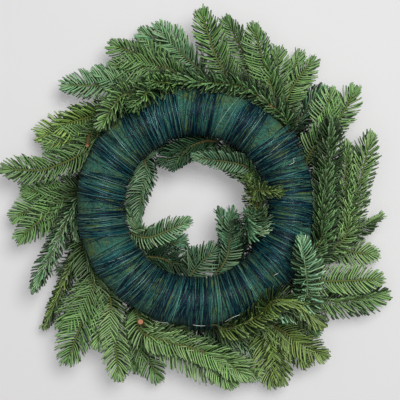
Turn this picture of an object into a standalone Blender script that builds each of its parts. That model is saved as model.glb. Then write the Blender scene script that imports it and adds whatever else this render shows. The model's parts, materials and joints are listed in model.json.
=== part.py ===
"""Advent wreath of fir: twigs wound with wire onto a straw ring, lying on its fir with the wound back up.

The layout is polar, about the ring's axis: angles are degrees, counter-clockwise from +X, and lengths are
millimetres until mesh_object turns them into metres. Heights are over the table. Round the ring's tube an
angle of 0 points away from the axis, 90 up, 180 into the hole and -90 down.
"""

import math
import random
from dataclasses import dataclass

import bpy
import numpy as np

METRES = 0.001

# The straw ring with its green covering: a 25 cm form
RING_MEAN_RADIUS = 98.5
RING_HEIGHT = 54.0
TUBE_RADIUS = 24.0
TUBE_SIDES = 12
RING_SEGMENTS = 40

# The wire: a closed band of turns in bundles, tight on the back and lifted over the twigs' feet elsewhere
BUNDLE_ANGLES = (
    *(14.5, 35, 59.5, 85, 107.5, 125.5, 147.5, 169, 190.5),
    *(213.5, 233, 253, 274, 296.5, 318.5, 338, 357),
)
BUNDLE_HALF_ANGLE = 4.25
BUNDLE_LEAN = 1.5
WIRE_THICKNESS = 1.2
WIRE_GAP = 0.5
WIRE_LIFT = 4.4
BACK_FROM, BACK_TO = 45, 135
STEP_FROM, STEP_TO = 210, 330

# The woody part of a shoot: a slim three-sided core
STEM_RADIUS = 1.5
SIDE_RADIUS = 1.3
TIP_RADIUS = 1.1
STEM_CLEARANCE = 0.6
FOOT_GAP = 0.4
FOOT_STUB_ANGLE = 3.0
FOOT_PAST_ANGLE = 2.2
FOOT_POINTS = 4
FOOT_SWITCH_COST = 9.0
OUTER_LEAD, INNER_LEAD = 7.0, 9.0
RISE_LENGTH = 12.0
LEAD_OUT_LENGTH = 8.0
PATH_STEP = 4.0
LEAST_STEM_HEIGHT = 6.0

# How the stems make room for each other
RELAX_STEPS = 90
STEM_SPACING = 7.0
SIDEWAYS_SHARE = 0.35
PUSH_SHARE, MOST_PUSH = 0.3, 1.5
BEND_SHARE = 0.45
HOME_PULL = (0.06, 0.06, 0.03)
PAIRS_KEPT_FOR = 6
PAIR_MARGIN = 6.0
JUNCTION_LENGTH = 12.0

# The needles: at true size and fewer, six to a whorl
NEEDLE_LENGTH = 19.0
NEEDLE_SPREAD = 1.5
NEEDLE_TILT = 57.0
TIP_TILT = 34.0
TIP_STRETCH = 18.0
TURN_JITTER, TILT_JITTER = 5.0, 6.0
WHORL_TWIST = 30.0
NEEDLE_ROOT_RADIUS = 1.8
WHORL_LENGTH = 3.2
WHORL_PITCH = 12.3
BARE_LENGTH = 7.0
BUD_LENGTH = 11.0
TIP_REACH = 13.0
NEEDLE_CLEARANCE = 0.45
SHORTER = (1.0, 1.0, 1.0, 0.85, 0.85, 0.7, 0.7, 0.55, 0.55, 0.4)
SEED = 24

# The clear part of the hole, as the lowest and highest x and y
HOLE_X = (-39.5, 27.5)
HOLE_Y = (2.0, 32.5)
HOLE_MARGIN = 1.0
LEAST_NEEDLE_HEIGHT = 0.5

# The flat undersides that the wreath rests on: half the pad's length
PAD_HALF_LENGTH = 6.0

# Twigs outside the ring: name, height of the tip, the tube angles that the foot may lie at, and the points
# that the shoot passes from the ring's edge to its tip, as (angle, radius) or (angle, radius, height)
OUTER_TWIGS = (
    ("a01", 40, (-30, -60, 0), (146, 126), (157, 133), (167, 164), (169, 209)),
    ("a03", 38, (-30, -60, 0), (134, 139), (151, 170)),
    ("a05", 30, (-60, -90, -30), (112, 134), (120, 148), (138, 191)),
    ("a06", 36, (-30, -60, 0), (95, 137), (118, 196)),
    ("a07", 20, (-60, -90, -30), (85, 138), (93, 157), (100, 174), (108, 196)),
    ("a09", 88, (0, -30), (100, 128, 56), (107, 134, 66), (114, 125, 80), (124, 116, 88)),
    ("a10", 74, (0, -30), (122, 141, 62), (142, 126, 74)),
    ("a11", 26, (-60, -90, -30), (171, 129), (184, 198)),
    ("a13", 42, (-30, -60, 0), (184, 133), (208, 194)),
    ("a14", 18, (-60, -90, -30), (198, 129), (219, 210)),
    ("a15", 36, (-30, -60, 0), (218, 132), (230.5, 215)),
    ("a16", 38, (-30, -60, 0), (227, 131), (246, 199)),
    ("a17", 20, (-60, -90, -30), (245, 150), (258, 190)),
    ("a18", 38, (-30, -60, 0), (243, 140, 46), (247, 146, 46), (265, 145, 46), (278, 158), (287, 188)),
    ("a19", 34, (-30, -60, 0), (298, 126), (311, 212)),
    ("a21", 28, (-60, -90, -30), (276.5, 131), (294, 160)),
    ("a22", 14, (-60, -90, -30), (307, 134), (314, 190)),
    ("a23", 40, (0, -30), (303, 129, 62), (309, 120, 80), (317, 136, 70), (317, 182)),
    ("a24", 90, (0, -30), (312, 142, 58), (320, 150, 66), (328, 132, 84), (345, 108)),
    ("a25", 20, (-60, -90, -30), (323, 171), (335, 222)),
    ("a26", 32, (-30, -60, 0), (326, 142), (333, 173), (339, 213)),
    ("a27", 16, (-60, -90, -30), (342, 134), (343, 160), (345, 203)),
    ("a28", 26, (-60, -90, -30), (348, 161), (358, 199.5)),
    ("a29", 54, (0, -30), (344, 136), (21, 141)),
    ("a30", 42, (-30, -60, 0), (335, 132), (347, 161), (23, 200)),
    ("a31", 36, (-30, -60, 0), (27, 141), (32, 181), (37, 212)),
    ("a32", 20, (-60, -90, -30), (40, 143), (43, 188)),
    ("a33", 26, (-60, -90, -30), (49, 140), (51.5, 165), (51.5, 201)),
    ("a34", 38, (-30, -60, 0), (53, 138), (73, 202)),
    ("a36", 26, (-60, -90, -30), (69, 160), (81, 202)),
    ("a37", 46, (-30, -60, 0), (73, 134), (82, 154), (89, 207)),
    ("a38", 66, (0, -30), (66, 135, 58), (78, 129, 66), (89, 127, 68), (101, 134)),
)

# Twigs in the hole, and two that curl over the ring from it
INNER_TWIGS = (
    ("b01", 40, (-150, 180), (95, 66), (127, 46)),
    ("b02", 50, (-150, 180), (45, 64), (97, 52)),
    ("b03", 30, (-150, -120), (33, 62), (67, 51)),
    ("b04", 40, (-150, 180), (143, 58), (165, 60), (195, 62)),
    ("b05", 48, (-150, 180), (215, 60), (254, 14)),
    ("b06", 28, (-150, -120), (225, 62), (257, 36)),
    ("b07", 36, (-150, -120), (232, 66), (272, 67)),
    ("b08", 38, (-150, 180), (270, 62), (300, 48)),
    ("b09", 44, (-150, 180), (310, 58), (359, 23)),
    ("b10", 86, (-150, 180), (337, 60, 44), (347, 56, 60), (353, 54)),
    ("b11", 90, (180, -150), (10, 58, 54), (19, 58, 70), (9, 88)),
    ("b13", 26, (-150, -120), (300, 64), (322, 44)),
)

# Side shoots: the twig that they grow from, how far along it, the height of the tip, and the tip
SIDE_SHOOTS = (
    ("a01", 0.18, 28, (159, 174)),
    ("a03", 0.20, 24, (156, 186)),
    ("a06", 0.12, 26, (109.5, 187)),
    ("a09", 0.35, 84, (111.5, 135)),
    ("a11", 0.35, 36, (191, 193)),
    ("a18", 0.30, 22, (279, 185)),
    ("a19", 0.42, 24, (293, 209)),
    ("a33", 0.25, 16, (56.5, 198)),
    ("a34", 0.30, 28, (63, 191)),
    ("b11", 0.50, 80, (28, 62)),
)

# Twigs of the front, under the ring: their tips' radii and heights, taken in turn
FRONT_TWIGS = 12
FRONT_TUBE_ANGLES = (-90, -120, -60)
FRONT_START = 12.0
FRONT_SWEEP = 44.0
FRONT_TIP_RADII = (160, 84, 122)
FRONT_TIP_HEIGHT = 9.0
FRONT_BELLY_HEIGHT = 11.0
FRONT_SIDE_SHARES = (0.25, 0.42)
FRONT_SIDE_TURNS = (38.0, -38.0)
FRONT_SIDE_LENGTH = 46.0
FRONT_SIDE_HEIGHT = 12.0
FRONT_RESTING = (0, 4, 8)


@dataclass
class Shoot:
    """A shoot's centre line, which of its points may move, and the shoot it grows from."""

    node: str
    path: np.ndarray
    free: np.ndarray
    parent: "Shoot" = None
    joint: int = 0
    pad: int = None


def polar(angle, radius, height):
    turn = math.radians(angle)
    return np.array([radius * math.cos(turn), radius * math.sin(turn), height])


def tube_point(angle, tube_angle, distance):
    """The point at this angle round the axis, at this angle and distance round the tube's centre line."""
    tilt = math.radians(tube_angle)
    radius = RING_MEAN_RADIUS + distance * math.cos(tilt)
    return polar(angle, radius, RING_HEIGHT + distance * math.sin(tilt))


def tube_coordinates(points):
    """Angles round the axis and round the tube in degrees, and distances from the tube's centre line."""
    outward = np.hypot(points[..., 0], points[..., 1]) - RING_MEAN_RADIUS
    upward = points[..., 2] - RING_HEIGHT
    angles = np.degrees(np.arctan2(points[..., 1], points[..., 0]))
    return angles, np.degrees(np.arctan2(upward, outward)), np.hypot(outward, upward)


def bundle_angle(turn):
    whole, index = divmod(turn, len(BUNDLE_ANGLES))
    return BUNDLE_ANGLES[index] + 360.0 * whole


def wire_angle(turn, tube_angle):
    """Where this turn of the wire passes the tube angle: it steps on to the next bundle under the ring."""
    tube_angle = (tube_angle - STEP_TO) % 360 + STEP_TO - 360
    over_back = bundle_angle(turn) + BUNDLE_LEAN * (tube_angle - 90) / (STEP_FROM - 90)
    share = (tube_angle - STEP_FROM) / (STEP_TO - STEP_FROM)
    here, there = bundle_angle(turn) + BUNDLE_LEAN, bundle_angle(turn + 1) - BUNDLE_LEAN
    return np.where(share <= 0, over_back, here + (there - here) * share)


def wire_distance(tube_angle):
    """How far the wire's underside is from the tube's centre line."""
    on_back = BACK_FROM - 1 <= tube_angle % 360 <= BACK_TO + 1
    return TUBE_RADIUS + (WIRE_GAP if on_back else WIRE_LIFT)


def wire_top(tube_angles):
    """How far the wire's outer side may reach from the tube's centre line, at an array of tube angles."""
    back = TUBE_RADIUS + WIRE_GAP + WIRE_THICKNESS
    front = TUBE_RADIUS + WIRE_LIFT + WIRE_THICKNESS
    from_back = np.abs((tube_angles + 90) % 360 - 180) - (BACK_TO - 90)
    return np.interp(from_back, (0, 360 / TUBE_SIDES), (back, front))


def off_the_wire(angles, tube_angles):
    """How many degrees round the axis each point is outside the nearest turn of the wire; negative inside."""
    turns = [wire_angle(turn, tube_angles) for turn in range(len(BUNDLE_ANGLES))]
    apart = np.abs((angles - np.array(turns) + 180) % 360 - 180)
    return apart.min(axis=0) - BUNDLE_HALF_ANGLE


def with_heights(points, first, tip_height):
    """The points as x, y, z: a point without a height gets one by its place between the first and the tip."""
    flat = [first[:2]] + [polar(point[0], point[1], 0)[:2] for point in points]
    along = np.cumsum([0] + [np.linalg.norm(b - a) for a, b in zip(flat, flat[1:])])
    guesses = np.interp(along, (0, along[-1]), (first[2], tip_height))[1:]
    heights = [point[2] if len(point) > 2 else guess for point, guess in zip(points, guesses)]
    heights[-1] = tip_height
    return [polar(point[0], point[1], height) for point, height in zip(points, heights)]


def lengths_along(path):
    steps = np.linalg.norm(np.diff(path, axis=0), axis=1)
    return np.concatenate([[0], np.cumsum(steps)])


def points_at(path, places):
    """The points at these lengths along the path."""
    along = lengths_along(path)
    return np.stack([np.interp(places, along, path[:, axis]) for axis in range(3)], axis=1)


def resampled(corners, cut=0.0):
    """A path through the corners with a point at each even step, less a stretch cut off its end."""
    path = np.array(corners)
    length = lengths_along(path)[-1] - cut
    return points_at(path, np.linspace(0, length, max(2, round(length / PATH_STEP) + 1)))


class Feet:
    """The places for feet on the ring: each turn of the wire holds one foot at each tube angle."""

    def __init__(self):
        self.taken = set()

    def nearest(self, angle, lead, tube_angles):
        """The free place that lets a shoot out at least this lead before the angle, and nearest to that."""
        best = None
        for rank, tube_angle in enumerate(tube_angles):
            for turn in range(len(BUNDLE_ANGLES)):
                if (turn, tube_angle) in self.taken:
                    continue
                leaves = float(wire_angle(turn, tube_angle)) + BUNDLE_HALF_ANGLE
                before = (angle - leaves) % 360
                cost = before + FOOT_SWITCH_COST * rank if before >= lead else 360 + lead - before
                if best is None or cost < best[0]:
                    best = (cost, turn, tube_angle)
        self.taken.add(best[1:])
        return best[1:]


def foot_points(turn, tube_angle):
    """A stripped foot: it lies along the ring under one turn of the wire, and ends just after it."""
    middle = float(wire_angle(turn, tube_angle))
    start = middle - BUNDLE_HALF_ANGLE - FOOT_STUB_ANGLE
    end = middle + BUNDLE_HALF_ANGLE + FOOT_PAST_ANGLE
    flat = TUBE_RADIUS * math.cos(math.pi / TUBE_SIDES)
    distance = flat + FOOT_GAP + STEM_RADIUS
    return [tube_point(angle, tube_angle, distance) for angle in np.linspace(start, end, FOOT_POINTS)]


def twig(node, foot, passes, cut=TIP_REACH):
    """A twig from its foot through the points that it passes. The last one is where its needles end."""
    straight_on = (foot[-1] - foot[-2]) / np.linalg.norm(foot[-1] - foot[-2])
    run = resampled([foot[-1], foot[-1] + straight_on * LEAD_OUT_LENGTH] + passes, cut)
    path = np.concatenate([np.array(foot), run[1:]])
    return Shoot(node, path, np.arange(len(path)) >= FOOT_POINTS)


def listed_twigs(rows, feet, lead):
    shoots = []
    for name, tip_height, tube_angles, *points in rows:
        turn, tube_angle = feet.nearest(points[0][0], lead, tube_angles)
        foot = foot_points(turn, tube_angle)
        passes = with_heights(points, foot[-1], tip_height)
        shoots.append(twig(f"fir_twig_{name}", foot, passes))
    return shoots


def joint_of(parent, share):
    """Which point of the twig is this share of its free length along it."""
    free = np.flatnonzero(parent.free)
    return int(free[0] + share * (len(free) - 1))


def side_shoot(parent, share, tip):
    """A side shoot from this share of its twig's free length to the tip."""
    joint = joint_of(parent, share)
    path = resampled([parent.path[joint], tip], TIP_REACH)
    return Shoot(parent.node, path, np.arange(len(path)) > 0, parent, joint)


def resting_twig(node, foot, belly, tip):
    """A twig of the front that presses on the table: a level pad at its belly."""
    half = (tip - foot[-1]) * (1, 1, 0)
    half *= PAD_HALF_LENGTH / np.linalg.norm(half)
    main = twig(node, foot, [belly - half], cut=0)
    beyond = resampled([belly + half, tip], TIP_REACH)
    main.pad = len(main.path) - 1
    main.path = np.concatenate([main.path, beyond])
    main.free = np.arange(len(main.path)) >= FOOT_POINTS
    main.free[main.pad : main.pad + 2] = False
    return main


def front_twig(index, feet):
    turns = index % len(FRONT_TUBE_ANGLES)
    tube_angles = FRONT_TUBE_ANGLES[turns:] + FRONT_TUBE_ANGLES[:turns]
    foot = foot_points(*feet.nearest(FRONT_START + 360 * index / FRONT_TWIGS, 0, tube_angles))
    leaves = math.degrees(math.atan2(foot[-1][1], foot[-1][0]))
    tip_radius = FRONT_TIP_RADII[index % len(FRONT_TIP_RADII)]
    middle_radius = (math.hypot(foot[-1][0], foot[-1][1]) + tip_radius) / 2
    node = f"fir_twig_c{index + 1:02d}"
    tip = polar(leaves + FRONT_SWEEP, tip_radius, FRONT_TIP_HEIGHT)
    if index in FRONT_RESTING:
        return resting_twig(node, foot, polar(leaves + FRONT_SWEEP / 2, middle_radius, 0), tip)
    return twig(node, foot, [polar(leaves + FRONT_SWEEP / 2, middle_radius, FRONT_BELLY_HEIGHT), tip])


def front_side_shoot(main, share, turned):
    joint = joint_of(main, share)
    heading = main.path[joint + 1] - main.path[joint - 1]
    angle = math.degrees(math.atan2(heading[1], heading[0])) + turned
    tip = main.path[joint] + polar(angle, FRONT_SIDE_LENGTH, 0)
    tip[2] = FRONT_SIDE_HEIGHT
    return side_shoot(main, share, tip)


def front_twigs(feet):
    """The twigs under the ring, each with two side shoots. Three of them carry the wreath."""
    shoots = []
    for index in range(FRONT_TWIGS):
        main = front_twig(index, feet)
        sides = zip(FRONT_SIDE_SHARES, FRONT_SIDE_TURNS)
        shoots += [main] + [front_side_shoot(main, share, turned) for share, turned in sides]
    return shoots


def all_shoots():
    feet = Feet()
    shoots = listed_twigs(OUTER_TWIGS, feet, OUTER_LEAD) + listed_twigs(INNER_TWIGS, feet, INNER_LEAD)
    mains = {shoot.node: shoot for shoot in shoots}
    for name, share, height, (angle, radius) in SIDE_SHOOTS:
        shoots.append(side_shoot(mains[f"fir_twig_{name}"], share, polar(angle, radius, height)))
    return shoots + front_twigs(feet)


def keep_out_of_ring(shoot):
    """Moves free points out of the ring and its wire. A stem rises from its foot after the wire's turn."""
    angles, tube_angles, distances = tube_coordinates(shoot.path)
    top = wire_top(tube_angles) + STEM_RADIUS + STEM_CLEARANCE
    if shoot.parent is None:
        along = lengths_along(shoot.path)
        share = np.clip((along - along[FOOT_POINTS - 1]) / RISE_LENGTH, 0, 1)
        share = share * share * (3 - 2 * share)
        start = TUBE_RADIUS + FOOT_GAP + STEM_RADIUS
        top = start + (top - start) * share
    short = np.where(shoot.free, np.maximum(top - distances, 0), 0)
    turn, tilt = np.radians(angles), np.radians(tube_angles)
    away = np.stack([np.cos(tilt) * np.cos(turn), np.cos(tilt) * np.sin(turn), np.sin(tilt)], axis=1)
    shoot.path += away * short[:, None]
    low = shoot.free & (shoot.path[:, 2] < LEAST_STEM_HEIGHT)
    shoot.path[low, 2] = LEAST_STEM_HEIGHT


def make_room(shoots):
    """Lets the stems spring apart, mostly up and down, while each stays smooth and near its own line."""
    homes = [shoot.path.copy() for shoot in shoots]
    owner = np.concatenate([np.full(len(shoot.path), number) for number, shoot in enumerate(shoots)])
    nodes = [shoot.node for shoot in shoots]
    family = np.array([nodes.index(nodes[number]) for number in owner])
    starts = np.cumsum([0] + [len(shoot.path) for shoot in shoots])
    for step in range(RELAX_STEPS):
        points = np.concatenate([shoot.path for shoot in shoots])
        if step % PAIRS_KEPT_FOR == 0:
            first, second = near_pairs(points, owner, family, starts)
        gap = points[first] - points[second]
        apart = np.linalg.norm(gap, axis=1)
        gap *= (SIDEWAYS_SHARE, SIDEWAYS_SHARE, 1)
        gap[:, 2] += np.where(first > second, 0.01, -0.01)
        push = gap / np.linalg.norm(gap, axis=1)[:, None]
        push *= (PUSH_SHARE * np.maximum(STEM_SPACING - apart, 0))[:, None]
        moves = np.zeros_like(points)
        np.add.at(moves, first, push)
        moves = np.clip(moves, -MOST_PUSH, MOST_PUSH)
        for number, shoot in enumerate(shoots):
            path = shoot.path
            bend = np.zeros_like(path)
            bend[1:-1] = (path[:-2] + path[2:]) / 2 - path[1:-1]
            pull = (homes[number] - path) * HOME_PULL
            move = BEND_SHARE * bend + pull + moves[starts[number] : starts[number + 1]]
            path[shoot.free] += move[shoot.free]
            keep_out_of_ring(shoot)
            if shoot.parent is not None:
                path[0] = shoot.parent.path[shoot.joint]


def near_pairs(points, owner, family, starts):
    """Pairs of near points of different shoots, but for those where a side shoot leaves its twig."""
    gaps = points[:, None, :].astype(np.float32) - points[None, :, :].astype(np.float32)
    near = np.einsum("ijk,ijk->ij", gaps, gaps) < (STEM_SPACING + PAIR_MARGIN) ** 2
    near &= owner[:, None] != owner[None, :]
    first, second = np.nonzero(near)
    from_root = (np.arange(len(points)) - starts[owner]) * PATH_STEP
    at_junction = np.minimum(from_root[first], from_root[second]) < JUNCTION_LENGTH
    keep = ~(at_junction & (family[first] == family[second]))
    return first[keep], second[keep]


def frames_along(points):
    """Two directions square to the path and to each other at each point, turned as little as possible."""
    ahead = np.gradient(points, axis=0)
    ahead /= np.linalg.norm(ahead, axis=1)[:, None]
    side = np.cross(ahead[0], (0, 0, 1.0))
    if np.linalg.norm(side) < 0.1:
        side = np.cross(ahead[0], (1.0, 0, 0))
    sides = []
    for direction in ahead:
        side = side - direction * np.dot(side, direction)
        side /= np.linalg.norm(side)
        sides.append(side)
    sides = np.array(sides)
    return ahead, sides, np.cross(ahead, sides)


def stations_of(shoot):
    """Points along a shoot where its core has a section, which of them start a whorl of needles, and which
    one starts the resting pad."""
    along = lengths_along(shoot.path)
    places = list(along[:FOOT_POINTS]) if shoot.parent is None else [0.0]
    first = places[-1] + BARE_LENGTH
    last = along[-1] - WHORL_LENGTH
    count = max(1, round((last - first) / WHORL_PITCH) + 1)
    if shoot.parent is None:
        places.append(places[-1] + BARE_LENGTH / 2)
    pad = None if shoot.pad is None else list(along[shoot.pad : shoot.pad + 2])
    whorls = []
    for place in np.linspace(first, last, count):
        if pad and place + WHORL_LENGTH > pad[0] - 1 and place < pad[1] + 1:
            continue
        if pad and place > pad[1] and pad[0] not in places:
            places += pad
        whorls.append(len(places))
        places += [place, place + WHORL_LENGTH]
    return points_at(shoot.path, places), whorls, (places.index(pad[0]) if pad else None)


class Core:
    """The three-sided core of a shoot: its sections' corners, and the triangles that bear needles."""

    def __init__(self, shoot):
        self.shoot = shoot
        self.points, self.whorls, self.pad = stations_of(shoot)
        self.ahead, side, over = frames_along(self.points)
        count = len(self.points)
        self.radii = np.linspace(STEM_RADIUS if shoot.parent is None else SIDE_RADIUS, TIP_RADIUS, count)
        turns = WHORL_TWIST * np.cumsum([place in self.whorls for place in range(count)])
        angles = np.radians(turns[:, None] + np.array([0, 120, 240]))
        ring = np.cos(angles)[..., None] * side[:, None] + np.sin(angles)[..., None] * over[:, None]
        self.corners = self.points[:, None] + ring * self.radii[:, None, None]
        if self.pad is not None:
            self.flatten_pad()
        self.tip = self.points[-1] + self.ahead[-1] * BUD_LENGTH
        self.tip[2] = max(self.tip[2], LEAST_NEEDLE_HEIGHT)
        self.apexes = {}

    def flatten_pad(self):
        """Sets the two sections of the resting pad with a flat side down at height 0."""
        for place in (self.pad, self.pad + 1):
            ahead = self.ahead[place] * (1, 1, 0)
            ahead /= np.linalg.norm(ahead)
            across = np.cross(ahead, (0, 0, 1.0))
            centre = self.points[place] * (1, 1, 0)
            half = self.radii[place] * math.sin(math.radians(60))
            high = centre + (0, 0, 1.5 * self.radii[place])
            corners = [high, centre + across * half, centre - across * half]
            turned = [corners[number:] + corners[:number] for number in range(3)]
            before = self.corners[place]
            self.corners[place] = min(turned, key=lambda option: np.abs(np.array(option) - before).sum())

    def quad(self, place, side):
        after = (side + 1) % 3
        low, high = self.corners[place], self.corners[place + 1]
        return low[side], low[after], high[after], high[side]


def axis_distances(start, end, starts, ends):
    """Nearest distances from one segment to many, and how far along each they lie, from 0 to 1."""
    first, others = end - start, ends - starts
    between = start - starts
    a = first @ first
    b = others @ first
    c = np.einsum("ij,ij->i", others, others)
    d = between @ first
    e = np.einsum("ij,ij->i", others, between)
    spread = np.maximum(a * c - b * b, 1e-9)
    s = np.clip((b * e - c * d) / spread, 0, 1)
    t = np.clip((b * s + e) / c, 0, 1)
    s = np.clip((b * t - d) / a, 0, 1)
    gaps = between + s[:, None] * first - t[:, None] * others
    return np.linalg.norm(gaps, axis=1), s, t


class Room:
    """What the needles must miss: the stems, the ring, the wire, the table, the hole and each other."""

    def __init__(self, cores):
        starts, ends, radii, owners = [], [], [], []
        for number, core in enumerate(cores):
            points = np.concatenate([core.points, core.tip[None]])
            starts.append(points[:-1])
            ends.append(points[1:])
            radii.append(core.radii)
            owners.append(np.full(len(core.points), number))
        self.starts, self.ends = np.concatenate(starts), np.concatenate(ends)
        self.radii, self.owners = np.concatenate(radii), np.concatenate(owners)
        self.places = np.concatenate([np.arange(len(core.points)) for core in cores])
        self.needle_starts = np.zeros((0, 3))
        self.needle_ends = np.zeros((0, 3))
        self.needle_whorls = np.zeros((0, 2), int)

    def add(self, start, end, owner, place):
        self.needle_starts = np.vstack([self.needle_starts, start])
        self.needle_ends = np.vstack([self.needle_ends, end])
        self.needle_whorls = np.vstack([self.needle_whorls, (owner, place)])

    def misses_ring(self, start, end):
        shares = np.linspace(0.2, 1, 6)
        samples = start + shares[:, None] * (end - start)
        thick = NEEDLE_ROOT_RADIUS * (1 - shares)
        angles, tube_angles, distances = tube_coordinates(samples)
        margin = np.degrees((thick + 1.0) / np.hypot(samples[:, 0], samples[:, 1]))
        over_wire = off_the_wire(angles, tube_angles) < margin
        least = np.where(over_wire, wire_top(tube_angles), TUBE_RADIUS) + thick + NEEDLE_CLEARANCE
        return bool((distances > least).all())

    def misses_hole(self, start, end):
        samples = start + np.linspace(0, 1, 8)[:, None] * (end - start)
        low = np.array([HOLE_X[0], HOLE_Y[0]]) - HOLE_MARGIN
        high = np.array([HOLE_X[1], HOLE_Y[1]]) + HOLE_MARGIN
        return not ((samples[:, :2] > low) & (samples[:, :2] < high)).all(axis=1).any()

    def misses_stems(self, start, end, owner, place):
        middle = (start + end) / 2
        reach = np.linalg.norm(end - start) / 2 + 14
        near = np.linalg.norm((self.starts + self.ends) / 2 - middle, axis=1) < reach
        near &= ~((self.owners == owner) & (np.abs(self.places - place) <= 1))
        if not near.any():
            return True
        gaps, along, _ = axis_distances(start, end, self.starts[near], self.ends[near])
        thick = NEEDLE_ROOT_RADIUS * (1 - along)
        return bool((gaps > self.radii[near] + thick + NEEDLE_CLEARANCE).all())

    def misses_needles(self, start, end, owner, place):
        if not len(self.needle_starts):
            return True
        middle = (start + end) / 2
        reach = np.linalg.norm(end - start) / 2 + NEEDLE_LENGTH / 2 + 4
        near = np.linalg.norm((self.needle_starts + self.needle_ends) / 2 - middle, axis=1) < reach
        near &= ~((self.needle_whorls[:, 0] == owner) & (self.needle_whorls[:, 1] == place))
        if not near.any():
            return True
        gaps, along, other = axis_distances(start, end, self.needle_starts[near], self.needle_ends[near])
        thick = NEEDLE_ROOT_RADIUS * (2 - along - other)
        return bool((gaps > thick + NEEDLE_CLEARANCE).all())

    def takes(self, start, end, owner, place):
        if end[2] < LEAST_NEEDLE_HEIGHT or start[2] < NEEDLE_ROOT_RADIUS / 2:
            return False
        if not (self.misses_hole(start, end) and self.misses_ring(start, end)):
            return False
        return self.misses_stems(start, end, owner, place) and self.misses_needles(start, end, owner, place)


def grow_whorl(core, owner, place, room, chance):
    """Six needles round the core: one on each triangle of the whorl, bent or shortened until it is clear."""
    from_tip = np.linalg.norm(core.points[-1] - core.points[place])
    tilt = np.interp(from_tip, (0, TIP_STRETCH), (TIP_TILT, NEEDLE_TILT))
    centre = (core.points[place] + core.points[place + 1]) / 2
    for side in range(3):
        quad = core.quad(place, side)
        outward = (quad[0] + quad[1] + quad[2] + quad[3]) / 4 - centre
        outward -= core.ahead[place] * np.dot(outward, core.ahead[place])
        outward /= np.linalg.norm(outward)
        sideways = np.cross(core.ahead[place], outward)
        for half, triangle in enumerate(((quad[0], quad[1], quad[2]), (quad[0], quad[2], quad[3]))):
            root = sum(triangle) / 3
            turn = WHORL_TWIST if half == 0 else -WHORL_TWIST
            for wobble, share in enumerate(SHORTER):
                freedom = 1 + wobble / 3
                angle = math.radians(turn + chance.uniform(-TURN_JITTER, TURN_JITTER) * freedom)
                lean = math.radians(tilt + chance.uniform(-TILT_JITTER, TILT_JITTER) * freedom)
                around = outward * math.cos(angle) + sideways * math.sin(angle)
                length = (NEEDLE_LENGTH + chance.uniform(-NEEDLE_SPREAD, NEEDLE_SPREAD)) * share
                apex = root + (core.ahead[place] * math.cos(lean) + around * math.sin(lean)) * length
                if room.takes(root, apex, owner, place):
                    room.add(root, apex, owner, place)
                    core.apexes[place, side, half] = apex
                    break


def grow_needles(cores):
    chance = random.Random(SEED)
    room = Room(cores)
    for owner, core in enumerate(cores):
        for place in core.whorls:
            grow_whorl(core, owner, place, room, chance)


def shoot_mesh(core):
    """The core and its needles as one closed skin."""
    vertices = [tuple(corner) for section in core.corners for corner in section]
    faces = [(0, 2, 1)]
    for place in range(len(core.points) - 1):
        for side in range(3):
            after = (side + 1) % 3
            low, high = 3 * place, 3 * place + 3
            quad = (low + side, low + after, high + after, high + side)
            for half, triangle in enumerate(((quad[0], quad[1], quad[2]), (quad[0], quad[2], quad[3]))):
                apex = core.apexes.get((place, side, half))
                if apex is None:
                    faces.append(triangle)
                    continue
                top = len(vertices)
                vertices.append(tuple(apex))
                faces += [(triangle[k], triangle[(k + 1) % 3], top) for k in range(3)]
    top = len(vertices)
    vertices.append(tuple(core.tip))
    last = 3 * (len(core.points) - 1)
    faces += [(last + side, last + (side + 1) % 3, top) for side in range(3)]
    return vertices, faces


def ring_mesh():
    """The straw ring: a torus with flat sides, one of them level on the back."""
    vertices, faces = [], []
    for segment in range(RING_SEGMENTS):
        for side in range(TUBE_SIDES):
            tube_angle = 360.0 * (side - 0.5) / TUBE_SIDES
            vertices.append(tuple(tube_point(360.0 * segment / RING_SEGMENTS, tube_angle, TUBE_RADIUS)))
    for segment in range(RING_SEGMENTS):
        here, there = segment * TUBE_SIDES, (segment + 1) % RING_SEGMENTS * TUBE_SIDES
        for side in range(TUBE_SIDES):
            after = (side + 1) % TUBE_SIDES
            faces.append((here + side, there + side, there + after, here + after))
    return vertices, faces


def wire_mesh():
    """The wire as one closed band that winds round the ring, once for each bundle."""
    vertices, faces = [], []
    step = 360.0 / TUBE_SIDES
    for turn in range(len(BUNDLE_ANGLES)):
        for side in range(TUBE_SIDES):
            tube_angle = step * (side - 0.5)
            middle = float(wire_angle(turn, tube_angle))
            inner = wire_distance(tube_angle)
            for edge, distance in (
                (-BUNDLE_HALF_ANGLE, inner),
                (BUNDLE_HALF_ANGLE, inner),
                (BUNDLE_HALF_ANGLE, inner + WIRE_THICKNESS),
                (-BUNDLE_HALF_ANGLE, inner + WIRE_THICKNESS),
            ):
                vertices.append(tuple(tube_point(middle + edge, tube_angle, distance)))
    sections = len(vertices) // 4
    for section in range(sections):
        here, there = 4 * section, 4 * ((section + 1) % sections)
        for corner in range(4):
            after = (corner + 1) % 4
            faces.append((here + corner, there + corner, there + after, here + after))
    return vertices, faces


def material(name, colour, roughness):
    made = bpy.data.materials.new(name)
    made.use_nodes = True
    shader = made.node_tree.nodes["Principled BSDF"]
    shader.inputs["Base Color"].default_value = (*colour, 1)
    shader.inputs["Roughness"].default_value = roughness
    shader.inputs["Metallic"].default_value = 0
    return made


def mesh_object(name, mesh_data, surface, parent, origin=(0.0, 0.0, RING_HEIGHT)):
    """An object of this mesh, with its own origin at a point of the layout, under the wreath's empty."""
    vertices, faces = mesh_data
    origin = np.array(origin)
    mesh = bpy.data.meshes.new(name)
    mesh.from_pydata([tuple((np.array(vertex) - origin) * METRES) for vertex in vertices], [], faces)
    mesh.materials.append(surface)
    made = bpy.data.objects.new(name, mesh)
    bpy.context.scene.collection.objects.link(made)
    made.parent = parent
    made.location = (origin - (0, 0, RING_HEIGHT)) * METRES
    return made


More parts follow.
